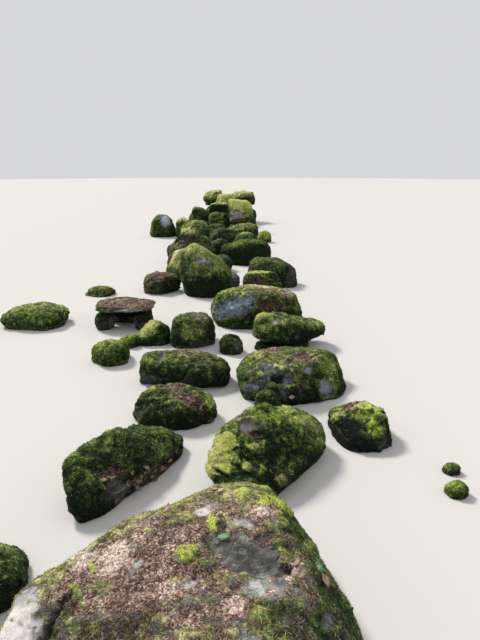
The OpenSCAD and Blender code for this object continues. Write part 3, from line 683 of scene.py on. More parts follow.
        ("dark", 312, 394, 8, 8, 0, 0.20), ("dark", 290, 403, 50, 5, 0, 0.40), ("dark", 343, 393, 6, 9, 0, 0.20),
        ("light", 316, 358, 12, 5, 15, 0.10), ("dark", 318, 377, 6, 3, 0, 0.35), ("dark", 246, 376, 8, 5, 0, 0.15),
    ]),
    "low_left_stones": dict(k=26, moss=0.8, thick=0.018, tone_and_painted_light=0.50, litter=0.1, hue=0.74, marks=[
        ("light", 106, 345, 14, 8, 0, 0.14), ("light", 126, 337, 9, 6, 0, 0.20), ("vivid", 126, 337, 10, 7, 0, 0.6)]),
    "fallen_stones": dict(k=16, moss=0.8, thick=0.008, tone_and_painted_light=0.42, litter=0.1, hue=0.75, lumps=0.003),
    "gap_stone": dict(k=26, moss=0.6, thick=0.014, tone_and_painted_light=0.30, litter=0.1, lumps=0.006, marks=[("rock", 238, 347, 5, 6, 0, 0.9)]),
    "wedge_boulder": dict(k=42, moss=0.75, thick=0.018, tone_and_painted_light=0.47, litter=0.05, form=0.5, lumps=0.012, hue=0.64, marks=[
        ("rock", 274, 323, 3.4, 2.8, 0, 1), ("pale", 274, 323, 3.2, 2.6, 0, 0.75), ("rock", 281.5, 322.5, 2.0, 2.0, 0, 1),
        ("pale", 281.5, 322.5, 2, 2, 0, 0.75), ("rock", 254.5, 320, 2.2, 8, 0, 1), ("light", 262, 315, 10, 4, 5, 0.30),
        ("light", 268, 329, 16, 4, -5, 0.16), ("dark", 290, 342, 40, 4, -4, 0.6), ("light", 253, 338, 7, 6, 20, 0.40),
        ("olive", 253, 338, 7, 6, 20, 0.6), ("rock", 298, 335, 2.5, 3, 0, 0.9), ("pale", 298, 335, 2, 2.6, 0, 0.3),
        ("light", 305, 328, 16, 3, 0, 0.14), ("dark", 306, 332, 14, 3, -10, 0.35), ("light", 320, 326, 6, 3, 0, 0.20),
        ("dark", 262, 334, 10, 3, 10, 0.25), ("dark", 290, 326, 14, 3, 10, 0.2),
    ]),
    "wedge_footing": dict(k=22, moss=-0.6, thick=0.008, tone_and_painted_light=0.2, litter=0.2, lumps=0.004, marks=[("dark", 280, 347, 40, 6, 0, 0.4)]),
    "left_boulder_4": dict(k=36, moss=0.65, thick=0.02, tone_and_painted_light=0.43, litter=0.15, form=0.6, hue=0.58, marks=[
        ("light", 193, 332, 12, 8, 0, 0.24), ("rock", 202, 345, 14, 4.0, -8, 1), ("litter", 203, 316, 12, 4, 4, 0.7),
        ("dark", 174, 334, 6, 12, 0, 0.3), ("olive", 200, 326, 16, 8, 0, 0.5), ("light", 178, 316, 7, 3, -20, 0.16),
        ("dark", 211, 330, 4, 12, 0, 0.3), ("dark", 184, 344, 8, 4, 0, 0.3)]),
    "round_stone": dict(k=30, moss=0.9, thick=0.022, tone_and_painted_light=0.50, litter=0.0, lumps=0.008, marks=[
        ("light", 148, 327, 12, 9, -20, 0.46), ("dark", 162, 336, 10, 10, 10, 0.36), ("dark", 150, 344, 14, 4, 0, 0.35)]),
    "grey_faced_boulder": dict(k=45, moss=0.55, thick=0.020, tone_and_painted_light=0.51, litter=0.2, form=0.6, painted_skylight_blue=1.0, marks=[
        ("rock", 240, 305, 18, 9, -8, 1), ("rock", 228, 313, 16, 8, -5, 1), ("rock", 216, 307, 6, 4, 0, 0.6),
        ("light", 241, 304, 15, 8, 0, 0.22), ("light", 226, 313, 12, 6, 0, 0.16), ("dark", 252, 305, 1.6, 1.4, 0, 1), ("dark", 232, 301, 5, 6, 30, 0.20),
        ("moss", 233, 322, 14, 5, 0, 1), ("dark", 233, 323, 15, 5, 0, 0.25), ("vivid", 228, 321, 6, 3, 0, 0.6),
        ("litter", 270, 306, 15, 7, 6, 1), ("dark", 268, 306, 14, 6, 0, 0.15), ("litter", 285, 296, 7, 4, 20, 0.8),
        ("light", 286, 295, 7, 3, 20, 0.25), ("light", 270, 287, 24, 2.6, 3, 0.50), ("light", 232, 290, 12, 3, -15, 0.10),
        ("olive", 268, 292, 30, 5, 3, 0.6), ("vivid", 296, 306, 7, 10, 0, 0.5), ("vivid", 222, 295, 8, 7, -15, 0.6),
        ("dark", 222, 299, 8, 5, -20, 0.25), ("dark", 290, 318, 14, 8, 0, 0.30), ("light", 297, 302, 4, 8, -10, 0.16),
        ("dark", 254, 316, 8, 8, 0, 0.35), ("dark", 284, 311, 5, 3, 0, 0.35), ("litter", 262, 291, 8, 2.5, 0, 0.5),
    ]),
    "left_slab": dict(k=34, moss=0.15, thick=0.012, tone_and_painted_light=0.34, litter=0.9, form=0.8, lumps=0.006, marks=[
        ("litter", 125, 303, 28, 5, 0, 1), ("rock", 128, 311, 14, 2.5, 0, 1), ("pale", 130, 311, 12, 1.6, 0, 0.7)]),
    "slab_supports": dict(k=15, moss=0.1, thick=0.010, tone_and_painted_light=0.2, litter=0.0, lumps=0.006, marks=[
        ("pale", 113, 323, 3.5, 8, -10, 0.6), ("rock", 113, 323, 4, 9, -10, 1), ("light", 113, 323, 3.5, 8, -10, 0.3),
        ("dark", 125, 322, 34, 12, 0, 0.45)]),
    "outlying_stones": dict(k=28, moss=0.9, thick=0.026, tone_and_painted_light=0.54, litter=0.0, hue=0.7),
    "low_broad_stone": dict(k=26, moss=0.1, thick=0.016, tone_and_painted_light=0.30, litter=0.9, marks=[
        ("moss", 162, 288, 10, 5, 0, 0.9), ("litter", 160, 276, 18, 6, -15, 1)]),
    "tall_boulder": dict(k=42, moss=0.8, thick=0.024, tone_and_painted_light=0.61, hue=0.62, litter=0.05, form=0.6, lumps=0.010, painted_skylight_blue=0.3, clumps=0.55, marks=[
        ("rock", 202, 261, 7.5, 3.8, 8, 1), ("light", 202, 261, 7, 3.5, 8, 0.20), ("dark", 204, 289, 24, 12, 0, 0.85),
        ("light", 204, 252, 24, 7, 22, 0.14), ("olive", 207, 268, 16, 7, 10, 0.3), ("light", 218, 270, 14, 5, 40, 0.10),
        ("dark", 184, 272, 4, 16, 0, 0.25), ("dark", 222, 282, 12, 8, 30, 0.3), ("light", 190, 250, 6, 6, -40, 0.10)]),
    "tall_neighbour": dict(k=26, moss=0.6, thick=0.02, tone_and_painted_light=0.56, litter=0.1, clumps=0.6, marks=[
        ("light", 176, 256, 10, 12, -20, 0.34), ("olive", 176, 256, 10, 12, -20, 0.4), ("litter", 179, 256, 4, 8, -30, 0.4), ("dark", 190, 275, 12, 12, 0, 0.3)]),
    "bare_gap_stone": dict(k=24, moss=-0.9, thick=0.006, tone_and_painted_light=0.36, litter=0.0, pale=0.25, painted_skylight_blue=0.5, lumps=0.008),
    "split_rear": dict(k=32, moss=0.55, thick=0.018, tone_and_painted_light=0.36, litter=0.15, form=0.6, marks=[
        ("rock", 291, 278, 6, 11, 10, 0.9), ("dark", 290, 280, 9, 12, 0, 0.6), ("light", 262, 262, 10, 2.5, -10, 0.15)]),
    "split_ledge": dict(k=26, moss=0.5, thick=0.014, tone_and_painted_light=0.52, litter=0.2, form=0.6, lumps=0.008, marks=[
        ("litter", 258, 283, 17, 6, 0, 1), ("dark", 258, 283, 17, 6, 0, 0.2), ("light", 256, 272, 16, 2.5, 0, 0.35), ("vivid", 256, 272, 16, 4, 0, 0.4), ("dark", 274, 276, 6, 7, 0, 0.3)]),
    "dark_boulder": dict(k=34, moss=0.8, clumps=0.6, thick=0.024, tone_and_painted_light=0.19, litter=0.05, hue=0.72, lumps=0.02, marks=[
        ("dark", 245, 262, 30, 9, 0, 0.5), ("light", 243, 243, 24, 5, -3, 0.22), ("vivid", 245, 243, 24, 5, -3, 0.25)]),
    "brown_topped_boulder": dict(k=32, moss=0.7, clumps=0.6, thick=0.024, tone_and_painted_light=0.42, litter=0.0, lumps=0.015, hue=0.60, marks=[
        ("litter", 188, 239.5, 12, 4.6, -8, 1), ("dark", 188, 239.5, 13, 5, -8, 0.75), ("shade", 187, 240, 11, 4.4, -8, 0.55),
        ("light", 188, 233.4, 10, 1.4, 0, 0.6), ("moss", 192, 233, 10, 1.3, 0, 1), ("olive", 174, 246, 8, 9, 0, 0.5),
        ("dark", 212, 256, 8, 9, 0, 0.3), ("moss", 206, 244, 8, 9, 0, 1)]),
    "saddle_stone_1": dict(k=24, moss=0.8, tone_and_painted_light=0.44, hue=0.65, litter=0.0, marks=[("light", 242, 233, 12, 2, 0, 0.35)]),
    "saddle_stone_2": dict(k=20, moss=0.8, tone_and_painted_light=0.56, litter=0.0, hue=0.7, marks=[("light", 263, 235, 8, 7, 0, 0.26)]),
    "saddle_stone_3": dict(k=26, moss=0.7, tone_and_painted_light=0.56, litter=0.1, lumps=0.03, hue=0.6),
    "saddle_stone_4": dict(k=22, moss=0.2, tone_and_painted_light=0.34, litter=0.5, lumps=0.04, marks=[("moss", 220, 241, 8, 4, 0, 0.9)]),
    "left_edge_stone_1": dict(k=20, moss=0.7, tone_and_painted_light=0.42, litter=0.1, lumps=0.02, marks=[("light", 183, 219, 6, 3, 0, 0.5)]),
    "left_edge_stone_2": dict(k=24, moss=0.6, tone_and_painted_light=0.52, litter=0.3, lumps=0.03, marks=[("light", 190, 231, 8, 3, 0, 0.5)]),
    "pale_rock": dict(k=24, moss=0.35, tone_and_painted_light=0.46, litter=0.1, painted_skylight_blue=0.6, lumps=0.02, hue=0.62, marks=[
        ("rock", 165, 221, 5, 6, 0, 1), ("pale", 165, 221, 4.5, 5.5, 0, 0.9), ("light", 165, 220, 4, 5, 0, 0.15)]),
    "core_stones": dict(k=13, moss=0.5, tone_and_painted_light=0.34, litter=0.5, clumps=0.7),
    "heap_base_stones": dict(k=18, moss=0.7, tone_and_painted_light=0.42, litter=0.1, hue=0.60, clumps=0.7, painted_skylight_blue=0.3),
    "heap_front_1": dict(k=24, moss=0.7, tone_and_painted_light=0.44, litter=0.0, lumps=0.04, hue=0.62, clumps=0.7, marks=[
        ("light", 214, 203, 9, 3, 0, 0.20), ("dark", 212, 218, 12, 5, 0, 0.3)]),
    "heap_front_2": dict(k=24, moss=0.7, tone_and_painted_light=0.44, litter=0.0, lumps=0.04, hue=0.62, clumps=0.7, marks=[
        ("light", 196, 209, 9, 3, 0, 0.16), ("dark", 200, 220, 10, 5, 0, 0.3)]),
    "heap_front_3": dict(k=26, moss=0.7, tone_and_painted_light=0.56, litter=0.0, lumps=0.04, hue=0.64, clumps=0.7, marks=[
        ("light", 240, 202, 14, 6, 5, 0.80), ("light", 244, 210, 9.9, 8, 0, 0.42), ("rock", 236, 215, 7, 5, 0, 0.9),
        ("pale", 236, 215, 6, 4, 0, 0.5), ("dark", 228, 212, 3, 8, 0, 0.4), ("vivid", 242, 202, 12, 5, 0, 0.3)]),
    "heap_top_1": dict(k=24, moss=0.8, tone_and_painted_light=0.46, litter=0.0, lumps=0.04, hue=0.60, clumps=0.7, marks=[
        ("light", 220, 203, 12, 2, 0, 0.5), ("dark", 219, 209, 9, 5, 0, 0.5)]),
    "heap_top_2": dict(k=24, moss=0.8, tone_and_painted_light=0.58, litter=0.0, lumps=0.035, hue=0.66, clumps=0.7, marks=[
        ("light", 224, 197, 12, 6, 0, 0.44)]),
    "heap_top_3": dict(k=24, moss=0.8, tone_and_painted_light=0.54, litter=0.0, lumps=0.04, hue=0.62, clumps=0.7, marks=[
        ("light", 243, 194, 12, 4, 0, 0.34), ("dark", 246, 199, 5, 2, 0, 0.6), ("dark", 246, 204, 10, 3, 0, 0.3)]),
    "heap_top_4": dict(k=24, moss=0.8, tone_and_painted_light=0.54, litter=0.0, lumps=0.04, hue=0.62, clumps=0.7, marks=[
        ("light", 212, 194, 10, 4, 0, 0.40), ("dark", 214, 203, 9, 3, 0, 0.4)]),
}
# The painted light on the stones comes from this direction.
SUN = np.array([-0.50, 0.42, 0.76])
SUN = SUN / np.linalg.norm(SUN)


def mark_weight(mark, px, py, facing, warp):
    """1 inside a mark, 0 outside, on the side that the camera sees."""
    kind, x, y, rx, ry, turn = mark[:6]
    a = math.radians(turn)
    u = (px - x) * math.cos(a) + (py - y) * math.sin(a)
    v = (py - y) * math.cos(a) - (px - x) * math.sin(a)
    r = np.sqrt((u / rx) ** 2 + (v / ry) ** 2) + warp
    return smooth(1.25, 0.75, r) * facing


def groove_weight(mark, px, py, facing):
    _, x0, y0, x1, y1, wide = mark[:6]
    dx, dy = x1 - x0, y1 - y0
    t = np.clip(((px - x0) * dx + (py - y0) * dy) / (dx * dx + dy * dy), 0, 1)
    r = np.hypot(px - x0 - t * dx, py - y0 - t * dy) / wide
    return smooth(1.3, 0.2, r) * facing


surfaces = {}


def build_stone(name, number, solid, look, seed):
    planes, off, lo, hi = solid
    grounded = lo[2] < 0.002
    tall = hi[2] - lo[2]
    if grounded:
        # the stone goes on below z = 0 and is cut there at the end
        kept = planes[:, 2] > -0.9
        planes = np.concatenate([planes[kept], [[0, 0, -1.0]]])
        off = np.concatenate([off[kept], [0.30 * tall]])
    k = look["k"]
    u, quads, edges = ball(k)
    if grounded:
        # fewer points underneath, more where the stone shows
        w = u[:, 2] + 0.22 * (1 - u[:, 2] ** 2)
        side = np.sqrt((1 - w * w) / np.maximum(1 - u[:, 2] ** 2, 1e-9))
        u = np.stack([u[:, 0] * side, u[:, 1] * side, w], -1)
    half = (hi - lo) / 2
    centre = (lo + hi) / 2
    centre[2] = lo[2] + 0.36 * tall
    d = u * half
    d = d / np.linalg.norm(d, axis=1, keepdims=True)
    p = centre + d * cast(planes, off, centre, d)[:, None]
    size = float(np.prod(half)) ** (1 / 3)
    step = float(np.mean(np.linalg.norm(p[edges[:, 0]] - p[edges[:, 1]], axis=1)))
    p = relax(p, edges, int(np.clip(2 * (look["round"] * size / step) ** 2, 1, 40)))
    p = fit_above(p, lo, hi, grounded)
    above = p[:, 2] - lo[2]
    free = np.ones(len(p))

    # the rock's own form: broad swellings, flats and knocked corners
    n = normals(p, quads)
    q = p / size
    form = look["form"] * size
    push = form * (0.085 * fbm(q * 0.9, seed, 2) + 0.045 * fbm(q * 2.3, seed + 5, 3))
    chips = np.maximum(0, perlin(q * 1.7, seed + 9) - 0.25)
    push = push - form * 0.09 * chips
    lump = 0.7 * fbm(p * 5.5, seed + 15, 2) + 0.9 * (0.55 - cells(p * 5.0 + 0.3 * perlin(p * 9, seed + 17)[:, None], seed + 16))
    push = push + look["lumps"] * lump
    p = p + n * (push * free)[:, None]
    p = fit_above(unfold(p, quads, edges), lo, hi, grounded)
    n = normals(p, quads)
    p = p - n * (look["thick"] * smooth(-0.75, -0.05, n[:, 2]))[:, None]

    # dents and swellings seen from the camera
    for rounds in range(1):
        n = relax(normals(p, quads), edges, 2)
        px, py = to_picture(p)
        view = EYE - p
        view = view / np.linalg.norm(view, axis=1, keepdims=True)
        facing = smooth(0.02, 0.22, np.sum(n * view, 1))
        for m in look["marks"]:
            if m[0] == "dent":
                p = p - n * (mark_weight(m, px, py, facing, 0) * m[6] * free)[:, None]
            elif m[0] == "bulge":
                p = p + n * (mark_weight(m, px, py, facing, 0) * m[6] * free)[:, None]
            elif m[0] == "groove":
                p = p - n * (groove_weight(m, px, py, facing) * m[6] * free)[:, None]

    # what covers the rock, and the painted light and shade on it
    n = relax(normals(p, quads), edges, max(1, int((0.02 / step) ** 2)))
    n = n / np.linalg.norm(n, axis=1, keepdims=True)
    up = n[:, 2]
    px, py = to_picture(p)
    facing = smooth(0.0, 0.18, np.sum(n * view, 1))
    f7 = fbm(p * 6.5, seed + 11)
    f20 = fbm(p * 19, seed + 12)
    f60 = fbm(p * 55, seed + 13, 3)
    moss = smooth(-0.30, 0.42, up + 0.45 * f7 + 0.15 * f20 + look["moss"])
    litter = look["litter"] * smooth(0.74, 0.98, up + 0.22 * f7 + 0.10 * f20)
    moss = moss * (1 - 0.75 * litter)
    # random tone variation plus painted light: lighter where the surface faces SUN, darker where it faces away
    tone_and_painted_light = look["tone_and_painted_light"] + 0.24 * (n @ SUN - 0.45) + 0.13 * f7 + 0.15 * f20 + 0.09 * f60
    pale, hue = np.full(len(p), look["pale"]), look["hue"] + 0.22 * fbm(p * 4.2, seed + 18, 2)
    # painted shade: darker low down near the foot where the surface does not face up, and on the underside
    painted_shade = smooth(0.14, 0.0, above) * smooth(0.7, 0.1, up) * 0.5 if grounded else smooth(0.1, -0.6, up) * 0.5
    tuft = np.zeros(len(p))
    warp = 0.50 * f20 + 0.30 * fbm(p * 40, seed + 14, 2)
    ragged = 0.35 * f20 + 0.85 * fbm(p * 32, seed + 19, 3)
    for m in look["marks"]:
        kind = m[0]
        # grooves: cracks cut into the rock, with painted shade in them
        if kind == "groove":
            w = groove_weight(m, px, py, facing)
            painted_shade = np.maximum(painted_shade, w * 0.9)
            moss, litter, tone_and_painted_light = moss * (1 - w), litter * (1 - w), tone_and_painted_light - 0.3 * w
            continue
        w = mark_weight(m, px, py, facing, ragged if kind in ("tuft", "light") and max(m[3], m[4]) < 10 else warp) * m[6]
        if kind in ("rock", "litter", "moss"):
            w = w * np.clip(1 + 0.5 * f60 + 0.4 * f20, 0.3, 1)
        if kind == "rock":
            moss, litter = moss * (1 - w), litter * (1 - w)
        elif kind == "litter":
            litter = np.maximum(litter, w)
            moss = moss * (1 - 0.8 * w)
        elif kind == "moss":
            moss = np.maximum(moss, w)
            litter = litter * (1 - 0.35 * w)
        elif kind == "pale":
            pale = np.maximum(pale, w)
        # painted sunlight: lighter patches of colour
        elif kind == "light":
            tone_and_painted_light = tone_and_painted_light + w
        # painted shadow: darker moss, rock and litter, with painted shade added as well
        elif kind == "dark":
            tone_and_painted_light = tone_and_painted_light - 0.6 * w
            painted_shade = np.maximum(painted_shade, 0.35 * w)
        # painted shade
        elif kind == "shade":
            painted_shade = np.maximum(painted_shade, w)
        elif kind == "olive":
            hue = hue - 0.5 * w
        elif kind == "vivid":
            hue = hue + 0.45 * w
        elif kind == "tuft":
            moss = np.maximum(moss, w)
            litter = litter * (1 - w)
            tone_and_painted_light = tone_and_painted_light + 0.24 * w
            hue = hue + 0.35 * w
            tuft = np.maximum(tuft, w)

    # cushions of moss stand proud of the rock, thicker towards their middles
    cover = relax(moss, edges, 1)
    pillow = 1 - cells(p * 21, seed + 21)
    small = 1 - cells(p * 52, seed + 22)
    rise = look["thick"] * (0.30 + 0.75 * np.clip(0.5 + 0.6 * f7 + 0.3 * f20, 0, 1.3) + (0.55 * pillow + 0.30 * small) * look["clumps"])
    rise = rise * smooth(0.15, 0.75, cover) + tuft * 0.010 * (1 + f60)
    crumbs = 0.004 * litter * (1 + f60)
    grit = (1 - cover) * (0.004 * f20 + 0.0018 * f60)
    bumps = rise + crumbs + grit + 0.0022 * f60 * cover
    high = bumps - relax(bumps, edges, max(2, int((0.035 / step) ** 2)))
    # painted shade in the gaps between the cushions and painted highlight on their tops
    tone_and_painted_light = tone_and_painted_light + np.clip(high / max(0.3 * look["thick"], 0.004), -1, 1) * 0.24 * cover * look["clumps"]
    p = unfold(p + n * (bumps * free)[:, None], quads, edges)
    if grounded:
        p = cut_at_foot(p, centre, edges)
    fields = dict(moss=moss, litter=litter, tone_and_painted_light=np.clip(tone_and_painted_light, 0, 1), painted_shade=np.clip(painted_shade, 0, 1), pale=np.clip(pale, 0, 1),
                  hue=np.clip(hue, 0, 1), painted_skylight_blue=np.full(len(p), look["painted_skylight_blue"]))
    return p, quads, n, fields


def join_parts(parts):
    verts, faces, base = [], [], 0
    for v, f in parts:
        verts.append(v)
        faces.append(f + base)
        base += len(v)
    return np.concatenate(verts), np.concatenate(faces)


for order, name in enumerate(sorted(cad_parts)):
    look = {**PLAIN, **LOOKS.get(name, {})}
    made = []
    for number, solid in enumerate(islands(name)):
        made.append(build_stone(name, number, solid, look, 1000 + 97 * order + 13 * number))
    v, f = join_parts([(a[0], a[1]) for a in made])
    fields = {key: np.concatenate([a[3][key] for a in made]) for key in made[0][3]}
    piece = make_mesh(name + "_surface", v, f, STONE, fields)
    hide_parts(name)
    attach(piece, "root")
    surfaces[name] = (v, f, normals(v, f), fields)


# ---------------------------------------------------------------- small things on the stones
def scatter(names, count, weight, rng):
    """Random points on the quads of the named stones, by area times weight."""
    pts, nrm, tone_and_painted_light, share = [], [], [], []
    for nm in names:
        v, f, n, fields = surfaces[nm]
        area = 0.5 * np.linalg.norm(np.cross(v[f[:, 2]] - v[f[:, 0]], v[f[:, 3]] - v[f[:, 1]]), axis=1)
        w = area * np.maximum(0, weight(v, n, fields)[f].mean(1))
        pts.append(v[f])
        nrm.append(n[f])
        tone_and_painted_light.append(fields["tone_and_painted_light"][f])
        share.append(w)
    pts, nrm, tone_and_painted_light, share = (np.concatenate(a) for a in (pts, nrm, tone_and_painted_light, share))
    pick = rng.choice(len(share), count, p=share / share.sum())
    a, b = rng.random(count), rng.random(count)
    w = np.stack([(1 - a) * (1 - b), a * (1 - b), a * b, (1 - a) * b], -1)
    at = np.einsum("ni,nij->nj", w, pts[pick])
    n = np.einsum("ni,nij->nj", w, nrm[pick])
    n = n / np.linalg.norm(n, axis=1, keepdims=True)
    return at, n, np.einsum("ni,ni->n", w, tone_and_painted_light[pick])


def tangents(n, rng):
    t = rng.normal(size=n.shape)
    t = t - n * np.sum(t * n, 1, keepdims=True)
    t = t / np.linalg.norm(t, axis=1, keepdims=True)
    return t, np.cross(n, t)


def shoots(name, names, count, weight, tall, wide, seed):
    """Leafy moss shoots: slim four-sided spikes that stand on the cushions."""
    rng = np.random.default_rng(seed)
    at, n, tone_and_painted_light = scatter(names, count, weight, rng)
    t, b = tangents(n, rng)
    lean = n + 1.1 * t * rng.random((count, 1)) + np.array([0, 0, 0.35])
    lean = lean / np.linalg.norm(lean, axis=1, keepdims=True)
    h = tall * (0.55 + 0.75 * rng.random((count, 1)))
    r = wide * (0.7 + 0.6 * rng.random((count, 1)))
    root = at - n * 0.3 * h
    ring = [root + r * (t * math.cos(a) + b * math.sin(a)) for a in (0, 2.0944, 4.18879)]
    v = np.stack([*ring, at + lean * h], 1).reshape(-1, 3)
    i = np.arange(count)[:, None] * 4
    f = np.concatenate([i + [0, 2, 1], i + [0, 1, 3], i + [1, 2, 3], i + [2, 0, 3]], 1).reshape(-1, 3)
    v[:, 2] = np.maximum(v[:, 2], 0.0)
    col = np.clip(tone_and_painted_light + 0.06 + 0.12 * rng.normal(size=count), 0, 1)
    # each shoot is darker at its foot and lighter at its tip: painted shade and painted highlight
    fields = {"tone_and_painted_light": np.stack([col - 0.16, col - 0.16, col - 0.16, col + 0.10], 1).ravel()}
    piece = make_mesh(name, v, f, SHOOTS, fields, False)
    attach(piece, "root")
    return piece


def needles(name, names, count, weight, seed, long=0.017, wide=0.0013):
    """Dry needles lying on the flat tops: thin three-sided spindles."""
    rng = np.random.default_rng(seed)
    at, n, _ = scatter(names, count, weight, rng)
    t, b = tangents(n, rng)
    t = t + n * rng.normal(size=(count, 1)) * 0.16
    t = t / np.linalg.norm(t, axis=1, keepdims=True)
    b = np.cross(n, t)
    b = b / np.linalg.norm(b, axis=1, keepdims=True)
    up = np.cross(t, b)
    half = 0.5 * long * (0.6 + 0.8 * rng.random((count, 1)))
    r = wide * (0.45 + 0.3 * rng.random((count, 1)))
    mid = at + n * (0.0006 + 0.0030 * rng.random((count, 1)))
    bend = n * half * 0.12 * rng.normal(size=(count, 1))
    ring = [mid + r * (b * math.cos(a) + up * math.sin(a)) for a in (1.5708, 3.66519, 5.75959)]
    v = np.stack([mid - t * half + bend, *ring, mid + t * half + bend], 1).reshape(-1, 3)
    i = np.arange(count)[:, None] * 5
    tri = [(0, 1, 2), (0, 2, 3), (0, 3, 1), (4, 2, 1), (4, 3, 2), (4, 1, 3)]
    f = np.concatenate([i + list(q) for q in tri], 1).reshape(-1, 3)
    v[:, 2] = np.maximum(v[:, 2], 0.0005)
    hue = np.clip(0.5 + 0.27 * rng.normal(size=count), 0, 1)
    piece = make_mesh(name, v, f, NEEDLES, {"hue": np.repeat(hue, 5)}, False)
    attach(piece, "root")
    return piece


def leaf_grid(long, wide, curl, cup, wave, rng):
    """One closed, slightly curled leaf with its stalk end at x = -long / 2."""
    na, nb = 9, 5
    a = np.linspace(0, 1, na)
    width = wide * np.power(np.sin(np.pi * np.clip(a, 0.02, 0.985) ** 0.80), 0.85)
    pts = []
    for i in range(na):
        for j in range(nb):
            s = (j / (nb - 1) - 0.5) * 2
            x = (a[i] - 0.5) * long
            y = s * width[i] / 2
            z = cup * abs(s) ** 1.5 * width[i] + curl * (a[i] - 0.4) ** 2 * long + wave * math.sin(6.3 * a[i] + 2 * s)
            pts.append((x, y, z))
    top = np.array(pts) + [0, 0, 0.0004]
    low = np.array(pts) - [0, 0, 0.0004]
    q = []
    for i in range(na - 1):
        for j in range(nb - 1):
            c = i * nb + j
            q.append((c, c + nb, c + nb + 1, c + 1))
    m = na * nb
    q += [tuple(m + k for k in reversed(f)) for f in list(q)]
    rim = [j for j in range(nb)] + [i * nb + nb - 1 for i in range(1, na)] + [(na - 1) * nb + j for j in range(nb - 2, -1, -1)] \
        + [i * nb for i in range(na - 2, 0, -1)]
    for r, s in zip(rim, rim[1:] + rim[:1]):
        q.append((r, s, s + m, r + m))
    ribs = np.array([1.0 if j == nb // 2 else 0.0 for i in range(na) for j in range(nb)] * 2)
    return np.concatenate([top, low]), np.array(q), ribs


def leaves(name, spots, seed):
    """spots: (centre, normal, length, hue)."""
    rng = np.random.default_rng(seed)
    parts, hues, ribs = [], [], []
    for at, n, long, hue in spots:
        v, q, rb = leaf_grid(long, long * rng.uniform(0.50, 0.68), rng.uniform(0.0, 0.5) * (hue < 0.9), rng.uniform(-0.20, 0.34) * (hue < 0.9),
                             long * 0.05, rng)
        t = rng.normal(size=3)
        t = t - n * np.dot(t, n)
        t = t / np.linalg.norm(t)
        tilt = n + 0.22 * rng.normal(size=3)
        if hue > 0.9:
            tilt = n + 0.8 * (EYE - at) / np.linalg.norm(EYE - at)
        tilt = tilt / np.linalg.norm(tilt)
        t = t - tilt * np.dot(t, tilt)
        t = t / np.linalg.norm(t)
        b = np.cross(tilt, t)
        w = at + n * (0.004 + 0.02 * long) + v[:, :1] * t + v[:, 1:2] * b + v[:, 2:] * tilt
        w[:, 2] = np.maximum(w[:, 2], 0.001)
        parts.append((w, q))
        hues.append(np.full(len(v), hue))
        ribs.append(rb)
    v, q = join_parts(parts)
    piece = make_mesh(name, v, q, LEAVES, {"hue": np.concatenate(hues), "rib": np.concatenate(ribs)})
    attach(piece, "root")
    return piece


def at_pixel(nm, x, y):
    v, f, n, _ = surfaces[nm]
    px, py = to_picture(v)
    view = EYE - v
    away = np.linalg.norm(view, axis=1)
    ok = np.sum(n * view, 1) > 0
    score = np.where(ok, np.hypot(px - x, py - y) + away * 0.5, 1e9)
    i = int(np.argmin(score))
    return v[i], n[i]


NEAR = ["front_boulder", "fallen_stones"]
SECOND = ["left_boulder_1", "centre_boulder_1", "right_boulder", "left_boulder_2", "left_boulder_3", "centre_boulder_2",
          "knob_stone", "front_left_stone"]
THIRD = ["wedge_boulder", "left_boulder_4", "round_stone", "grey_faced_boulder", "gap_stone", "low_left_stones",
         "tall_boulder"]
mossy = lambda v, n, f: smooth(0.35, 0.8, f["moss"]) * smooth(-0.4, 0.1, n[:, 2])
littered = lambda v, n, f: smooth(0.25, 0.7, f["litter"]) * smooth(0.3, 0.7, n[:, 2]) + 0.02 * (n[:, 2] > 0.5)
shoots("moss_shoots_front", NEAR, 13000, mossy, 0.0060, 0.0018, 5)
shoots("moss_shoots_near", SECOND, 23500, mossy, 0.0070, 0.0027, 6)
shoots("moss_shoots_middle", THIRD, 8000, mossy, 0.0085, 0.0038, 7)
needles("needle_litter_front", NEAR, 8500, littered, 8, 0.016, 0.0011)
needles("needle_litter_near", SECOND, 3000, littered, 9, 0.02, 0.0016)

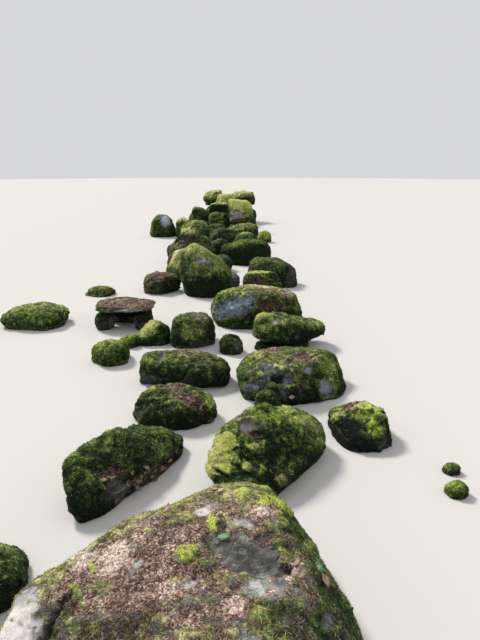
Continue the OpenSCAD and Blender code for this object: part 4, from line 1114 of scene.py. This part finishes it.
rng = np.random.default_rng(77)
spots = []
for nm, x, y, long, hue in [
    ("front_boulder", 166, 510, 0.045, 0.42), ("front_boulder", 215, 490, 0.040, 0.50), ("front_boulder", 222, 492, 0.034, 0.66),
    ("front_boulder", 210, 493, 0.036, 0.36), ("front_boulder", 223, 537, 0.046, 0.97), ("front_boulder", 318, 568, 0.048, 0.97),
    ("front_boulder", 324, 582, 0.044, 0.50), ("front_boulder", 296, 564, 0.030, 0.45), ("front_boulder", 301, 577, 0.030, 0.38),
    ("front_boulder", 286, 592, 0.024, 0.45), ("front_boulder", 183, 547, 0.016, 0.75), ("front_boulder", 240, 527, 0.022, 0.45),
    ("left_boulder_1", 110, 477, 0.042, 0.55), ("left_boulder_1", 103, 480, 0.036, 0.42), ("left_boulder_1", 120, 474, 0.040, 0.35),
    ("left_boulder_1", 132, 473, 0.040, 0.48), ("left_boulder_1", 141, 477, 0.042, 0.34), ("left_boulder_1", 152, 476, 0.042, 0.52),
    ("left_boulder_1", 137, 487, 0.040, 0.40), ("left_boulder_1", 148, 486, 0.040, 0.58), ("left_boulder_1", 162, 468, 0.040, 0.36),
    ("left_boulder_1", 170, 460, 0.036, 0.50), ("left_boulder_1", 146, 467, 0.036, 0.44), ("left_boulder_1", 157, 482, 0.036, 0.30),
    ("left_boulder_2", 194, 397, 0.042, 0.50), ("left_boulder_2", 200, 407, 0.044, 0.38), ("left_boulder_2", 187, 399, 0.040, 0.42),
    ("left_boulder_2", 180, 398, 0.036, 0.60), ("left_boulder_2", 165, 389, 0.040, 0.45),
    ("centre_boulder_2", 262, 353, 0.040, 0.52), ("centre_boulder_2", 283, 352, 0.034, 0.58), ("centre_boulder_2", 302, 357, 0.036, 0.40),
    ("centre_boulder_2", 296, 360, 0.034, 0.46), ("centre_boulder_2", 291, 397, 0.040, 0.66), ("right_boulder", 347, 409, 0.034, 0.45),
    ("left_boulder_3", 182, 354, 0.030, 0.55), ("wedge_boulder", 300, 319, 0.026, 0.5),
]:
    at, n = at_pixel(nm, x, y)
    spots.append((at, n, long, hue))
loose = lambda v, n, f: smooth(0.35, 0.8, f["litter"]) * smooth(0.45, 0.8, n[:, 2])
at, n, _ = scatter(SECOND[:7] + ["grey_faced_boulder", "left_slab", "low_broad_stone", "brown_topped_boulder"], 34, loose, rng)
for a, b in zip(at, n):
    spots.append((a, b, rng.uniform(0.028, 0.045), float(np.clip(rng.normal(0.40, 0.14), 0, 0.75))))
leaves("fallen_leaves", spots, 12)

# ---------------------------------------------------------------- floor, light
bm = bmesh.new()
rings, sides = [0.0, 6, 12, 24, 60], 48
prev = [bm.verts.new((0, 0, -0.001))]
for r in rings[1:]:
    ring = [bm.verts.new((r * math.cos(2 * math.pi * i / sides), r * math.sin(2 * math.pi * i / sides), -0.001)) for i in range(sides)]
    for i in range(sides):
        j = (i + 1) % sides
        if len(prev) == 1:
            bm.faces.new((prev[0], ring[i], ring[j]))
        else:
            bm.faces.new((prev[i], ring[i], ring[j], prev[j]))
    prev = ring
me = bpy.data.meshes.new("floor")
bm.to_mesh(me)
bm.free()
floor = bpy.data.objects.new("floor", me)
bpy.context.scene.collection.objects.link(floor)
m, nt, bsdf, co = start("floor_plain")
bsdf.inputs["Base Color"].default_value = (0.60, 0.59, 0.575, 1)
bsdf.inputs["Roughness"].default_value = 0.95
bsdf.inputs["Specular IOR Level"].default_value = 0.1
me.materials.append(m)

world = bpy.data.worlds.new("studio")
world.use_nodes = True
world.node_tree.nodes["Background"].inputs[0].default_value = (0.90, 0.905, 0.92, 1)
world.node_tree.nodes["Background"].inputs[1].default_value = 0.75
bpy.context.scene.world = world


def sun(name, direction, energy, angle, colour):
    data = bpy.data.lights.new(name, "SUN")
    data.energy, data.angle, data.color = energy, math.radians(angle), colour
    o = bpy.data.objects.new(name, data)
    x, y, z = direction
    o.rotation_euler = (math.acos(z / math.sqrt(x * x + y * y + z * z)), 0, math.atan2(x, -y))
    bpy.context.scene.collection.objects.link(o)


sun("key", (-0.50, 0.55, 0.70), 3.4, 12, (1.0, 0.97, 0.90))
bpy.context.scene.view_settings.view_transform = "Standard"
bpy.context.scene.view_settings.look = "None"
